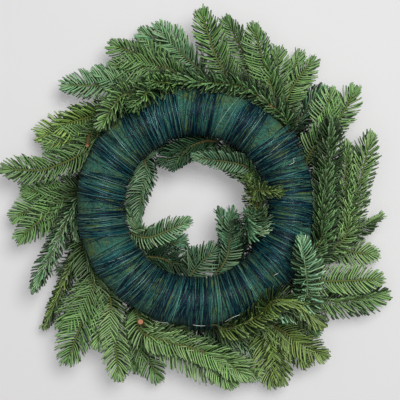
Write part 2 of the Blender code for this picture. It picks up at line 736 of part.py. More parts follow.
def add_side_shoot(main, side):
    """Grows a side shoot into its twig with a Boolean union, and keeps it as a hidden guide."""
    side.hide_render = True
    side.display_type = "WIRE"
    union = main.modifiers.new(side.name, "BOOLEAN")
    union.operation = "UNION"
    union.solver = "EXACT"
    union.object = side


def build():
    for obj in list(bpy.data.objects):
        bpy.data.objects.remove(obj)
    shoots = all_shoots()
    make_room(shoots)
    cores = [Core(shoot) for shoot in shoots]
    grow_needles(cores)
    meshes = [shoot_mesh(core) for core in cores]
    everything = np.concatenate([np.array(vertices) for vertices, _ in meshes])
    centre = (everything.min(axis=0) + everything.max(axis=0)) / 2
    wreath = bpy.data.objects.new("wreath", None)
    bpy.context.scene.collection.objects.link(wreath)
    wreath.location = (-centre[0] * METRES, -centre[1] * METRES, RING_HEIGHT * METRES)
    covering = material("green covering on straw", (0.10, 0.12, 0.045), 0.95)
    lacquered_wire = material("dark blue-green wire", (0.02, 0.055, 0.075), 0.5)
    fir = material("fir needles", (0.06, 0.14, 0.06), 0.6)
    mesh_object("ring_form", ring_mesh(), covering, wreath)
    mesh_object("binding_wire", wire_mesh(), lacquered_wire, wreath)
    mains = {}
    for core, mesh in zip(cores, meshes):
        shoot = core.shoot
        if shoot.parent is None:
            mains[shoot.node] = mesh_object(shoot.node, mesh, fir, wreath, shoot.path[0])
        else:
            name = f"{shoot.node}_side_{len(mains[shoot.node].modifiers) + 1}"
            side = mesh_object(name, mesh, fir, wreath, shoot.path[0])
            add_side_shoot(mains[shoot.node], side)


build()
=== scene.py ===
"""The advent wreath of fir as the photograph shows it: lying face down, its wound back up.

The stems and the wire follow the same polar layout as the CAD: angles are degrees about the ring's axis, and
lengths are millimetres until Skin.mesh turns them into metres. Round the ring's tube an angle of 0 points
away from the axis, 90 up, 180 into the hole and -90 down.
"""

import json
import math
from dataclasses import dataclass

import bpy
import numpy as np
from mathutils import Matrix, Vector

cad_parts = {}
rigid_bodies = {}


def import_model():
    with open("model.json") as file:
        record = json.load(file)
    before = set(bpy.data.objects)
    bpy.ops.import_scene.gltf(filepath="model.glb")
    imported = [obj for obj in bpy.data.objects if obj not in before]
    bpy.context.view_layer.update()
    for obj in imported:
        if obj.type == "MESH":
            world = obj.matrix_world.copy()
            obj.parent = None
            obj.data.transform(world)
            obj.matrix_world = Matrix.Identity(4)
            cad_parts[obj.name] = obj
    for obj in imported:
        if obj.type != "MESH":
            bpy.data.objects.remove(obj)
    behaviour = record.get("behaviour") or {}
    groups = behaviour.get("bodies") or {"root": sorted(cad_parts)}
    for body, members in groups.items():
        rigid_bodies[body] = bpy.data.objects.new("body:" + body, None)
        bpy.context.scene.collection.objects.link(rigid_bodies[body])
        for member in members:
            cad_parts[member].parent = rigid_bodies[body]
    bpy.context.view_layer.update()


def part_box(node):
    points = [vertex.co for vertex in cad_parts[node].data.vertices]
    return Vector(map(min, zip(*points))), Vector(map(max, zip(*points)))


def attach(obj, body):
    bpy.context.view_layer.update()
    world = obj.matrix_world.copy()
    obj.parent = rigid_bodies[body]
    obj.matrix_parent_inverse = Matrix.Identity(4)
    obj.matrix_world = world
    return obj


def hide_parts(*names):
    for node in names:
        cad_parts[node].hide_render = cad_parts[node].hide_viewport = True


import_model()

METRES = 0.001

# The straw ring with its green covering: a 25 cm form
RING_MEAN_RADIUS = 98.5
RING_HEIGHT = 54.0
TUBE_RADIUS = 24.0
TUBE_SIDES = 12

# The wire: a closed band of turns in bundles, tight on the back and lifted over the twigs' feet elsewhere
BUNDLE_ANGLES = (
    *(14.5, 35, 59.5, 85, 107.5, 125.5, 147.5, 169, 190.5),
    *(213.5, 233, 253, 274, 296.5, 318.5, 338, 357),
)
BUNDLE_HALF_ANGLE = 4.25
BUNDLE_LEAN = 1.5
WIRE_THICKNESS = 1.2
WIRE_GAP = 0.5
WIRE_LIFT = 4.4
BACK_TO = 135
STEP_FROM, STEP_TO = 210, 330

# The woody part of a shoot
STEM_RADIUS = 1.5
TIP_REACH = 13.0
STEM_CLEARANCE = 0.6
FOOT_GAP = 0.4
FOOT_STUB_ANGLE = 3.0
FOOT_PAST_ANGLE = 2.2
FOOT_POINTS = 4
FOOT_SWITCH_COST = 9.0
OUTER_LEAD, INNER_LEAD = 7.0, 9.0
RISE_LENGTH = 12.0
LEAD_OUT_LENGTH = 8.0
PATH_STEP = 4.0
LEAST_STEM_HEIGHT = 6.0

# How the stems make room for each other
RELAX_STEPS = 90
STEM_SPACING = 7.0
SIDEWAYS_SHARE = 0.35
PUSH_SHARE, MOST_PUSH = 0.3, 1.5
BEND_SHARE = 0.45
HOME_PULL = (0.06, 0.06, 0.03)
PAIRS_KEPT_FOR = 6
PAIR_MARGIN = 6.0
JUNCTION_LENGTH = 12.0
TIE_BREAK = 0.01

# The clear part of the hole, as the lowest and highest x and y
HOLE_X = (-39.5, 27.5)
HOLE_Y = (2.0, 32.5)
LEAST_NEEDLE_HEIGHT = 2.1
LEAST_BARK_HEIGHT = 1.4

# The flat undersides that the wreath rests on: half the pad's length
PAD_HALF_LENGTH = 6.0

# Where a twig's foot may lie round the ring's tube, in the order of choice
SIDE_FEET, LOW_FEET, HIGH_FEET = (-30, -60, 0), (-60, -90, -30), (0, -30)
HOLE_FEET, HOLE_LOW_FEET, HOLE_TOP_FEET = (-150, 180), (-150, -120), (180, -150)

# Twigs outside the ring: name, height of the tip, the tube angles that the foot may lie at, and the points
# that the shoot passes from the ring's edge to its tip, as (angle, radius) or (angle, radius, height)
OUTER_TWIGS = (
    ("a01", 40, SIDE_FEET, (146, 126), (157, 133), (167, 164), (169, 209)),
    ("a03", 38, SIDE_FEET, (134, 139), (151, 170)),
    ("a05", 30, LOW_FEET, (112, 134), (120, 148), (138, 191)),
    ("a06", 36, SIDE_FEET, (95, 137), (118, 196)),
    ("a07", 20, LOW_FEET, (85, 138), (93, 157), (100, 174), (108, 196)),
    ("a09", 88, HIGH_FEET, (100, 128, 56), (107, 134, 66), (114, 125, 80), (124, 116, 88)),
    ("a10", 74, HIGH_FEET, (122, 141, 62), (142, 126, 74)),
    ("a11", 26, LOW_FEET, (171, 129), (184, 198)),
    ("a13", 42, SIDE_FEET, (184, 133), (208, 194)),
    ("a14", 18, LOW_FEET, (198, 129), (219, 210)),
    ("a15", 36, SIDE_FEET, (218, 132), (230.5, 215)),
    ("a16", 38, SIDE_FEET, (227, 131), (246, 199)),
    ("a17", 20, LOW_FEET, (245, 150), (258, 190)),
    ("a18", 38, SIDE_FEET, (243, 140, 46), (247, 146, 46), (265, 145, 46), (278, 158), (287, 188)),
    ("a19", 34, SIDE_FEET, (298, 126), (311, 212)),
    ("a21", 28, LOW_FEET, (276.5, 131), (294, 160)),
    ("a22", 14, LOW_FEET, (307, 134), (314, 190)),
    ("a23", 40, HIGH_FEET, (303, 129, 62), (309, 120, 80), (317, 136, 70), (317, 182)),
    ("a24", 90, HIGH_FEET, (312, 142, 58), (320, 150, 66), (328, 132, 84), (345, 108)),
    ("a25", 20, LOW_FEET, (323, 171), (335, 222)),
    ("a26", 32, SIDE_FEET, (326, 142), (333, 173), (339, 213)),
    ("a27", 16, LOW_FEET, (342, 134), (343, 160), (345, 203)),
    ("a28", 26, LOW_FEET, (348, 161), (358, 199.5)),
    ("a29", 54, HIGH_FEET, (344, 136), (21, 141)),
    ("a30", 42, SIDE_FEET, (335, 132), (347, 161), (23, 200)),
    ("a31", 36, SIDE_FEET, (27, 141), (32, 181), (37, 212)),
    ("a32", 20, LOW_FEET, (40, 143), (43, 188)),
    ("a33", 26, LOW_FEET, (49, 140), (51.5, 165), (51.5, 201)),
    ("a34", 38, SIDE_FEET, (53, 138), (73, 202)),
    ("a36", 26, LOW_FEET, (69, 160), (81, 202)),
    ("a37", 46, SIDE_FEET, (73, 134), (82, 154), (89, 207)),
    ("a38", 66, HIGH_FEET, (66, 135, 58), (78, 129, 66), (89, 127, 68), (101, 134)),
)

# Twigs in the hole, and two that curl over the ring from it
INNER_TWIGS = (
    ("b01", 40, HOLE_FEET, (95, 66), (127, 46)),
    ("b02", 50, HOLE_FEET, (45, 64), (97, 52)),
    ("b03", 30, HOLE_LOW_FEET, (33, 62), (67, 51)),
    ("b04", 40, HOLE_FEET, (143, 58), (165, 60), (195, 62)),
    ("b05", 48, HOLE_FEET, (215, 60), (254, 14)),
    ("b06", 28, HOLE_LOW_FEET, (225, 62), (257, 36)),
    ("b07", 36, HOLE_LOW_FEET, (232, 66), (272, 67)),
    ("b08", 38, HOLE_FEET, (270, 62), (300, 48)),
    ("b09", 44, HOLE_FEET, (310, 58), (359, 23)),
    ("b10", 86, HOLE_FEET, (337, 60, 44), (347, 56, 60), (353, 54)),
    ("b11", 90, HOLE_TOP_FEET, (10, 58, 54), (19, 58, 70), (9, 88)),
    ("b13", 26, HOLE_LOW_FEET, (300, 64), (322, 44)),
)

# Side shoots: the twig that they grow from, how far along it, the height of the tip, and the tip
SIDE_SHOOTS = (
    ("a01", 0.18, 28, (159, 174)),
    ("a03", 0.20, 24, (156, 186)),
    ("a06", 0.12, 26, (109.5, 187)),
    ("a09", 0.35, 84, (111.5, 135)),
    ("a11", 0.35, 36, (191, 193)),
    ("a18", 0.30, 22, (279, 185)),
    ("a19", 0.42, 24, (293, 209)),
    ("a33", 0.25, 16, (56.5, 198)),
    ("a34", 0.30, 28, (63, 191)),
    ("b11", 0.50, 80, (28, 62)),
)

# Twigs of the front, under the ring: their tips' radii and heights, taken in turn
FRONT_TWIGS = 12
FRONT_TUBE_ANGLES = (-90, -120, -60)
FRONT_START = 12.0
FRONT_SWEEP = 44.0
FRONT_TIP_RADII = (160, 84, 122)
FRONT_TIP_HEIGHT = 9.0
FRONT_BELLY_HEIGHT = 11.0
FRONT_SIDE_SHARES = (0.25, 0.42)
FRONT_SIDE_TURNS = (38.0, -38.0)
FRONT_SIDE_LENGTH = 46.0
FRONT_SIDE_HEIGHT = 12.0
FRONT_RESTING = (0, 4, 8)
FINE_FRONT_SHARES, FINE_FRONT_TURNS = (0.08, 0.62), (-50.0, 44.0)

# Finer side shoots that fill the sprigs out, in the same terms as the side shoots
FINE_SHOOTS = (
    ("a05", 0.5, 30, (127, 180)),
    ("a06", 0.45, 30, (122, 176)),
    ("a07", 0.6, 24, (102, 198)),
    ("a11", 0.5, 30, (175, 187)),
    ("a11", 0.25, 30, (189, 160)),
    ("a13", 0.15, 40, (197, 130)),
    ("a15", 0.35, 34, (222, 193)),
    ("a16", 0.3, 34, (234.5, 182)),
    ("a17", 0.3, 22, (249.5, 187)),
    ("a18", 0.08, 36, (256, 128)),
    ("a18", 0.25, 36, (268, 128)),
    ("a18", 0.7, 30, (282, 194)),
    ("a19", 0.55, 26, (296, 211)),
    ("a19", 0.66, 28, (305, 207)),
    ("a21", 0.45, 22, (283, 189)),
    ("a21", 0.3, 24, (295, 174)),
    ("a29", 0.45, 62, (34, 168)),
    ("a30", 0.42, 44, (24, 172)),
    ("a31", 0.45, 32, (41.5, 190)),
    ("a18", 0.85, 28, (291, 192)),
    ("b01", 0.1, 34, (126, 74)),
    ("b01", 0.35, 38, (133, 61)),
    ("b03", 0.35, 34, (66, 73)),
    ("b04", 0.1, 36, (126, 73)),
    ("b04", 0.3, 34, (177, 63)),
    ("b04", 0.12, 32, (186, 73)),
    ("b05", 0.3, 32, (181, 72)),
    ("b13", 0.3, 24, (330, 62)),
    ("b05", 0.15, 36, (189, 64)),
    ("b07", 0.5, 34, (260, 71)),
    ("b08", 0.3, 36, (266, 42)),
    ("b09", 0.55, 46, (0, 38)),
)

# Cut ends of twigs that show beside the ring: their radius and their course
CUT_ENDS = {
    "fir_twig_a18": (2.7, ((244.3, 131, 62), (245, 133, 50), (248, 137, 38))),
    "fir_twig_a01": (1.7, ((150.7, 128.5, 58), (149, 131, 52), (146, 134, 46))),
    "fir_twig_a34": (2.0, ((53, 128.5, 58), (54, 131, 50), (57, 134, 44))),
}

# How much further some twigs reach than the others do
EXTRA_REACH = {"a05": 2, "a07": 2, "a16": 2, "a17": 2, "a18": 2, "a25": 5, "a33": 3, "a36": 3}

BODY = "root"
SEED = 24

# The materials of a sprig by number, and the corners of a quad in the other order round
NEEDLE, BARK, CUT_WOOD = 0, 1, 2
OTHER_WAY_ROUND = (0, 3, 2, 1)

# The real needles: flat and blunt, parted on a shoot's underside, which the photograph shows
NEEDLES_PER_MM = 2.86
# Twigs of the front: needles per millimetre, and how much of the rows' painted light and shade they keep
FRONT_DENSITY, FRONT_DEPTH = 1.9, 0.35
PLACE_SPREAD = 1.3
ROOT_DEPTH = 0.7
STEM_BARE, SIDE_BARE = 4.0, 2.0
NEEDLE_LENGTH = 19.9
NEEDLE_HALF_WIDTH = 0.84
WIDTH_RANGE = (0.88, 1.1)
LENGTH_SPREAD, MOST_LENGTH = 0.06, 1.03
NEEDLE_SHARES = (0.0, 0.24, 0.82, 1.0)
NEEDLE_WIDTHS = (0.5, 0.9, 1.0, 0.62)
GROOVE, KEEL = 0.12, 0.5
FACE_TWIST = 16.0
BEND, BEND_SPREAD, WAVER = 0.34, 0.06, 0.03
# The rows of needles by turns: where they grow round the stem, off its underside in degrees, and how light
# they are painted. The row on top is open, with each needle clear of the next, and lightened as painted
# light; the rows behind it are darkened as painted shade between the needles.
NEAR, MIDDLE, FAR = (0.0, 22.0, 1.6), (22.0, 60.0, 0.42), (60.0, 138.0, 0.12)
ROWS = (NEAR, FAR, MIDDLE, FAR)
PARTING, PARTING_SPREAD, LEAST_PARTING = 42.0, 4.0, 4.0
AROUND_SPREAD, ROLL_SPREAD = 4.0, 12.0
# How far needles lean out from the stem at its side, on its upper side and at its tip, and where each begins
SIDE_TILT, TOP_TILT, TIP_TILT, TILT_SPREAD = 82.0, 58.0, 36.0, 0.05
OVER_FROM, OVER_WIDTH = 58.0, 90.0
# How their length falls off on the upper side, towards the tip and towards the foot
TOP_SHORTER = 0.42
TIP_ZONE, TIP_SHARE, TIP_GROWTH = 22.0, 0.5, 0.7
FOOT_ZONE, FOOT_SHARE = 12.0, 0.8
TWIG_TONES_RANGE, TWIG_LENGTHS_RANGE = (0.94, 1.06), (0.96, 1.05)
TONE_SPREAD, HUE_SPREAD, TONE_LIMITS = 0.24, 0.08, (0.003, 0.9)
FROST_AND_HIGHLIGHT_RANGE = (0.4, 1.3)
# Painted shade: needles deep down beside the ring are darkened, by up to this share, where the ring shades
# them
SHADE_SHARE, SHADE_WIDTH, SHADE_TOP, SHADE_BOTTOM = 0.9, 34.0, 60.0, 30.0
# How much faster red and blue fade than green does, so that the shade between needles is a full green
SHADE_POWERS = (1.3, 1.0, 1.2)

# The tuft of short needles round a bud
TUFT_NEEDLES, TUFT_DEPTH, TUFT_ROOT = 20, 2.5, 0.6
TUFT_LENGTHS, TUFT_WIDTHS, TUFT_TILTS, TUFT_BEND = (7.5, 10.0), (0.8, 1.0), (10.0, 60.0), 0.3
STAR_LENGTH, STAR_TILT = 1.15, 22.0
GOLDEN_SHARE = 0.6180339887

# Turning needles clear of the ring, the table and the hole
STEER_STEPS, STEER_RATE, STEER_SHARES, STEER_LEFT = 7, 0.6, (0.35, 0.7, 1.0), 0.9
NEEDLE_CLEARANCE = 1.6

# The bark, its collar where a side shoot leaves its twig, the buds and the cut ends
STEM_STEP, STEM_SIDES, STEM_END = 2.0, 6, 5.0
BARK_RADIUS, BARK_TIP_RADIUS, BARK_BUMPS = 1.25, 0.72, 0.12
COLLAR, COLLAR_FADE = 0.5, 12.0
BUD_LENGTH, BUD_RADIUS, BUD_DEPTH = 4.5, 1.1, 0.6
BUD_SHARES, BUD_RADII = np.array((0.0, 0.3, 0.6, 0.85, 1.0)), np.array((0.7, 1.0, 0.9, 0.55, 0.12))
# Each of the three buds: how far it leans sideways, and its share of the size
BUDS = ((0.0, 1.0), (0.55, 0.75), (-0.55, 0.75))
CUT_END_POINTS, CUT_END_SIDES = 5, 10
# A path whose way ahead has a smaller share than this off the vertical counts as upright
UPRIGHT = 0.1

# Where the bark's colours are read, as a share of a stem's length: cut ends near its foot, buds past its tip
CUT_END_ALONG, BUD_ALONG = 0.2, 1.5

# The map that a finish is baked to: the part for stems and, in a stem's strip, for its bark, how much of a
# strip and of its width is used, the space round each needle's cell, and the cells' heights over their widths
STEM_STRIP, BARK_STRIP, CUT_END_STRIP = 0.1, 0.55, (0.0, 0.01)
STEM_SHARE, STRIP_SHARE = 0.95, 0.9
WALL_START, WALL_WIDTH, CAP_START, CAP_WIDTH, CAP_RADIUS = 0.01, 0.96, 0.975, 0.02, 0.4
CELL_MARGIN, BLADE_CELL, WIRE_CELL = 0.06, 4.7, 0.02
BLADE_TIP_CELL = np.array([[[0.4, 0.97], [0.4, 1.0], [0.6, 1.0], [0.6, 0.97]]])

# The covering of the ring: its lumps as (waves round the ring, share of the height)
COVER_RADIUS, COVER_LUMPS = 23.5, 0.45
COVER_SEGMENTS, COVER_SIDES = 300, 56
LUMP_WAVES = ((5, 1.0), (13, 0.8), (29, 0.5), (61, 0.4))
WAVES_EACH = 3

# The covering's fibres: where they lie round the tube, how few the wire's bundles leave, and their forms
FIBRES, FIBRES_TRIED = 2500, 7500
FIBRE_MIDDLE, FIBRE_SPREAD = 88.0, 62.0
UNDER_WIRE_SHARE, OPEN_WIDTH, OPEN_POWER = 0.15, 10.0, 1.5
FIBRE_TURN, FIBRE_RISE, FIBRE_WAVER = 0.75, (-0.02, 0.16), 0.12
FIBRE_LENGTHS, FIBRE_LIFTS, FIBRE_HALF_WIDTHS = (3.0, 8.5), (-0.1, 0.9), (0.14, 0.34)
FIBRE_FORM_SHARES, FIBRE_FORM_WIDTHS = (0.0, 0.5, 1.0), (0.8, 1.0, 0.3)
FIBRE_TONES = ((50, 98, 80), (30, 66, 62), (84, 112, 66), (116, 122, 70), (86, 84, 48))
FIBRE_SHARES, FIBRE_TONE_SPREAD = (0.33, 0.32, 0.22, 0.1, 0.03), 0.25

# The wire: hundreds of turns in bundles, and stray turns between them
# (turns, how far they spread on the outer and on the inner side in degrees, and their layer over the ring)
TIGHT_TURNS = (830, 5.6, 9.6, (0.0, 1.2))
STRAY_TURNS = (260, 11.0, 11.0, (0.5, 1.3))
# Gaps between bundles that turns cross as well
FILLED_GAPS, FILLED_SHARE, FILLED_HALF_ANGLE = (116.5, 263.5, 328.0), 0.11, 6.0
WIRE_RADIUS, PALE_RADIUS = 0.3, 0.2
WIRE_STEPS, WIRE_SIDES, WIRE_CORNER = 24, 3, 0.25
WIRE_CROSSING, WIRE_SWAY, SWAY_STARTS = 2.6, 0.12, (0, 6)
OVER_RING, OVER_FOOT = 0.2, 4.3
# The wire's tones, navy to pale teal, on one lacquered green wire: the navy turns are painted shade between
# the strands and the pale turns painted highlights. The turns of the lowest layers all take the navy, as
# painted shade.
WIRE_TONES = ((4, 33, 54), (24, 88, 98), (82, 150, 142), (128, 172, 160))
TIGHT_SHARES, STRAY_SHARES = (0.58, 0.19, 0.15, 0.08), (0.18, 0.3, 0.37, 0.15)
WIRE_TONE_SPREAD, SHADED_LAYERS = 0.22, 0.35
# Loose strands, each by corners of (angle, tube angle, height over the ring's form)
LOOSE_STRANDS = (
    ((284.4, 34, 3), (287.5, 50, 5), (292.2, 42, 3)),
    ((248.8, 14, 3), (252.5, 24, 4), (256.4, 30, 3)),
    ((268.6, 36, 3), (271.5, 35, 4), (274.4, 30, 3)),
    ((24.2, 80, 3), (23.6, 56, 6), (27.2, 80, 5), (26.0, 58, 3)),
    ((318.6, 76, 3), (319.8, 76, 4), (321.2, 72, 3)),
)
LOOSE_RADIUS, LOOSE_TONE, LOOSE_POINTS, LOOSE_SIDES = 0.28, (190, 200, 192), 12, 6

# Colours, as screen values from 0 to 255, and how much of each shoot's pale bands shows, partly as a painted
# highlight. The dark tone is painted shade, for twigs low in the hole; the deep and teal tones are partly the
# twigs' own colour and partly painted shade.
TONES = {
    "mid": ((72, 122, 52), 0.55),
    "fresh": ((84, 136, 60), 0.7),
    "light": ((94, 142, 66), 0.85),
    "blue": ((62, 128, 84), 0.95),
    "silver": ((94, 156, 120), 1.0),
    "grey green": ((108, 158, 118), 1.0),
    "yellow": ((112, 150, 52), 0.45),
    "olive": ((92, 122, 44), 0.45),
    "deep": ((58, 108, 54), 0.5),
    "teal": ((38, 106, 78), 0.6),
    "dark": ((16, 68, 44), 0.15),
    "front": ((42, 78, 42), 0.3),
}
TWIGS_BY_TONE = {
    "fresh": "a10 a25 a31 a33",
    "light": "a16 a18 a26 a27 a28 a30",
    "blue": "a05 a07 a13 a21 b05",
    "silver": "a24",
    "grey green": "b10",
    "yellow": "a03",
    "olive": "a14 a19 a23 b11",
    "deep": "a22 a29 a38 b03",
    "teal": "a32 b02 b04 b06 b08 b09",
    "dark": "b01 b07 b13",
}
TWIG_TONES = {name: tone for tone, names in TWIGS_BY_TONE.items() for name in names.split()}
# Where single twigs differ from the rest, by Look's fields
TWIG_LOOKS = {
    "a03": dict(length=1.2),
    "a06": dict(length=1.12, right=0.75),
    "a07": dict(length=1.12, right=0.85),
    "a09": dict(parting=8, disorder=1.8, star=1.0),
    "a10": dict(parting=8, disorder=1.5),
    "a13": dict(parting=6, length=0.72),
    "a14": dict(parting=8, length=0.75, right=0.6),
    "a15": dict(length=1.15),
    "a16": dict(length=1.05, right=0.85),
    "a18": dict(right=0.87),
    "a22": dict(parting=20),
    "a23": dict(parting=8, disorder=1.4, stem=0.75),
    "a24": dict(parting=30, disorder=1.5, star=0.5, length=1.05, depth=1.4),
    "a25": dict(parting=14, length=1.1),
    "a28": dict(parting=14, disorder=0.8, length=0.85, left=0.42),
    "a29": dict(parting=8),
    "a30": dict(parting=20, length=1.1, right=0.74),
    "a31": dict(length=1.1, right=0.9),
    "a32": dict(parting=10, disorder=1.5),
    "a33": dict(left=0.65),
    "a34": dict(length=1.05, right=0.85),
    "a37": dict(length=1.1, left=0.9),
    "a38": dict(left=0.7, right=0.85, parting=4, stem=0.5, disorder=2.2),
    "b01": dict(left=0.85),
    "b02": dict(left=0.5, stem=0.8),
    "b03": dict(left=0.6, stem=0.6),
    "b04": dict(length=0.8, left=0.85),
    "b05": dict(length=0.98, right=0.7),
    "b06": dict(length=1.1, stem=0.6),
    "b07": dict(stem=0.6),
    "b08": dict(left=1.15, stem=0.7),
    "b09": dict(length=0.78, left=0.85),
    "b10": dict(length=1.35, parting=4, disorder=1.2, star=0.6, swirl=0.6),
    "b11": dict(parting=14, disorder=1.5, star=0.4, length=0.72),
}

# The needles' finish. Bands go by the place round a needle, from 0 at its keel to 1 in its groove.
# The pale bands' colour, bright enough to stand partly for painted highlights
FROST_AND_HIGHLIGHT = (0.5, 0.64, 0.36)
NEEDLE_BANDS = [
    *((0.0, (0.5, 0.55, 0.5)), (0.3, (0.8, 0.85, 0.8))),
    *((0.5, (0.85, 0.9, 0.85)), (1.0, (1, 1, 0.9))),
]
BAND_SHARES = [(0.5, 0.0), (0.56, 0.0), (0.63, 0.8), (0.88, 0.8), (0.96, 0.1)]
ROOT_SHARES = [(0.0, 0.7), (0.1, 0.0)]
ROOT_TONE = (88, 108, 46)
NEEDLE_SPECULAR = 0.38

# The bark's colours along a shoot, from its foot to its tip and on to its buds
BUD_TONE = (122, 86, 48)
BARK_STOPS = (
    *((0.0, (88, 66, 38)), (0.1, (98, 80, 38)), (0.24, (116, 104, 40))),
    *((0.5, (104, 114, 42)), (0.75, BUD_TONE)),
)
BARK_DARK, BARK_OWN_TONE = (54, 44, 22), 0.28
CUT_WOOD_STOPS = ((0.3, (146, 94, 66)), (0.7, (194, 142, 106)))

# The covering's colours; its darkest is painted shade, in blotches meant for the moss's hollows
MOSS_SHADE, STRAW = (8, 32, 34), (120, 126, 70)
MOSS_STOPS = ((0.3, (20, 72, 70)), (0.48, (46, 112, 94)), (0.65, (86, 116, 60)))

# Noise in the finishes: its scale per metre and its detail (and the moss's roughness), then from which values
# to which it is stretched
NEEDLE_BLOTCHES, NEEDLE_GLOSS = (160.0, 2.0, 0.3, 0.7, 0.82, 1.15), (500.0, 3.0, 0.3, 0.7, 0.3, 0.44)
WIRE_WEAR, WIRE_GLOSS = (300.0, 3.0, 0.35, 0.7, 0.75, 1.3), (800.0, 3.0, 0.3, 0.7, 0.3, 0.5)
FIBRE_SHADES = (700.0, 2.0, 0.3, 0.7, 0.7, 1.2)
BARK_NOISE, BARK_CREVICES, CUT_WOOD_NOISE = (1400.0, 4.0), (0.35, 0.7, 0.0, 0.7), (2200.0, 3.0)
MOSS_PATCHES, MOSS_NOISE, STRAW_NOISE = (42.0, 3.0), (420.0, 5.0, 0.7), (900.0, 2.0)
# The moss's dark blotches of painted shade come from the same fine noise as its bump
MOSS_HOLLOWS, STRAW_FLECKS = (0.37, 0.7, 0.0, 0.8), (0.58, 0.72, 0.0, 0.8)
FLOOR_NOISE, FLOOR_STOPS = (6.0, 2.0), (0.3, 0.7)
BARK_BUMP, MOSS_BUMP = (0.5, 0.0004), (0.9, 0.0012)
BARK_ROUGHNESS, CUT_WOOD_ROUGHNESS = 0.8, 0.85
COVER_ROUGHNESS, FIBRE_ROUGHNESS, FLOOR_ROUGHNESS = 0.95, 0.9, 0.9
WIRE_METALLIC = 0.35
BLACK, WHITE = (0, 0, 0), (1, 1, 1)

# The floor, the camera straight above the ring, and the light from the upper right. The floor glows a little,
# as painted light that lifts the shadows round the wreath.
FLOOR_SIZE, FLOOR_TONE, FLOOR_LIGHTER, FLOOR_GLOW = 6.0, (190, 190, 190), 1.02, (0.222, 0.218, 0.22)
CAMERA_HEIGHT, VIEW_WIDTH, SENSOR_WIDTH = 1100.0, 413.5, 36.0
VIEW_X, VIEW_Y = 4.2, 6.9
LIGHT_TARGET = (0, 0, 0.05)
# Each light: its place, its diameter and its power in metres and watts, and its colour
LIGHTS = {
    "key": ((0.42, 0.5, 1.7), 0.95, 26.0, (1.0, 0.995, 0.98)),
    "top": ((-0.15, -0.05, 2.0), 1.8, 10.0, (0.98, 0.99, 1.0)),
}
SKY_COLOUR, SKY_STRENGTH = (0.94, 0.96, 1.0), 0.16


@dataclass
class Shoot:
    """A shoot's centre line, which of its points may move, and the shoot it grows from."""

    node: str
    path: np.ndarray
    free: np.ndarray
    parent: "Shoot" = None
    joint: int = 0
    pad: int = None


def polar(angle, radius, height):
    turn = math.radians(angle)
    return np.array([radius * math.cos(turn), radius * math.sin(turn), height])


def tube_point(angle, tube_angle, distance):
    """The point at this angle round the axis, at this angle and distance round the tube's centre line."""
    tilt = math.radians(tube_angle)
    radius = RING_MEAN_RADIUS + distance * math.cos(tilt)
    return polar(angle, radius, RING_HEIGHT + distance * math.sin(tilt))


def tube_coordinates(points):
    """Angles round the axis and round the tube in degrees, and distances from the tube's centre line."""
    outward = np.hypot(points[..., 0], points[..., 1]) - RING_MEAN_RADIUS
    upward = points[..., 2] - RING_HEIGHT
    angles = np.degrees(np.arctan2(points[..., 1], points[..., 0]))
    return angles, np.degrees(np.arctan2(upward, outward)), np.hypot(outward, upward)


def out_of_tube(angles, tube_angles):
    """The directions straight out of the ring's tube, at these angles round the axis and round the tube."""
    turn, tilt = np.radians(angles), np.radians(tube_angles)
    return np.stack([np.cos(tilt) * np.cos(turn), np.cos(tilt) * np.sin(turn), np.sin(tilt)], axis=-1)


def bundle_angle(turn):
    whole, index = divmod(turn, len(BUNDLE_ANGLES))
    return BUNDLE_ANGLES[index] + 360.0 * whole


def wire_angle(turn, tube_angle):
    """Where this turn of the wire passes the tube angle: it steps on to the next bundle under the ring."""
    tube_angle = (tube_angle - STEP_TO) % 360 + STEP_TO - 360
    over_back = bundle_angle(turn) + BUNDLE_LEAN * (tube_angle - 90) / (STEP_FROM - 90)
    share = (tube_angle - STEP_FROM) / (STEP_TO - STEP_FROM)
    here, there = bundle_angle(turn) + BUNDLE_LEAN, bundle_angle(turn + 1) - BUNDLE_LEAN
    return np.where(share <= 0, over_back, here + (there - here) * share)


def wire_top(tube_angles):
    """How far the wire's outer side may reach from the tube's centre line, at an array of tube angles."""
    back = TUBE_RADIUS + WIRE_GAP + WIRE_THICKNESS
    front = TUBE_RADIUS + WIRE_LIFT + WIRE_THICKNESS
    from_back = np.abs((tube_angles + 90) % 360 - 180) - (BACK_TO - 90)
    return np.interp(from_back, (0, 360 / TUBE_SIDES), (back, front))


def off_the_wire(angles, tube_angles):
    """How many degrees round the axis each point is outside the nearest turn of the wire; negative inside."""
    turns = [wire_angle(turn, tube_angles) for turn in range(len(BUNDLE_ANGLES))]
    apart = np.abs((angles - np.array(turns) + 180) % 360 - 180)
    return apart.min(axis=0) - BUNDLE_HALF_ANGLE


def with_heights(points, first, tip_height):
    """The points as x, y, z: a point without a height gets one by its place between the first and the tip."""
    flat = [first[:2]] + [polar(point[0], point[1], 0)[:2] for point in points]
    along = np.cumsum([0] + [np.linalg.norm(b - a) for a, b in zip(flat, flat[1:])])
    guesses = np.interp(along, (0, along[-1]), (first[2], tip_height))[1:]
    heights = [point[2] if len(point) > 2 else guess for point, guess in zip(points, guesses)]
    heights[-1] = tip_height
    return [polar(point[0], point[1], height) for point, height in zip(points, heights)]


def lengths_along(path):
    steps = np.linalg.norm(np.diff(path, axis=0), axis=1)
    return np.concatenate([[0], np.cumsum(steps)])


def values_at(path, values, places):
    """What the path's values are at these lengths along it."""
    along = lengths_along(path)
    return np.stack([np.interp(places, along, values[:, axis]) for axis in range(3)], axis=1)


def points_at(path, places):
    """The points at these lengths along the path."""
    return values_at(path, path, places)


def resampled(corners, cut=0.0):
    """A path through the corners with a point at each even step, less a stretch cut off its end."""
    path = np.array(corners)
    length = lengths_along(path)[-1] - cut
    return points_at(path, np.linspace(0, length, max(2, round(length / PATH_STEP) + 1)))


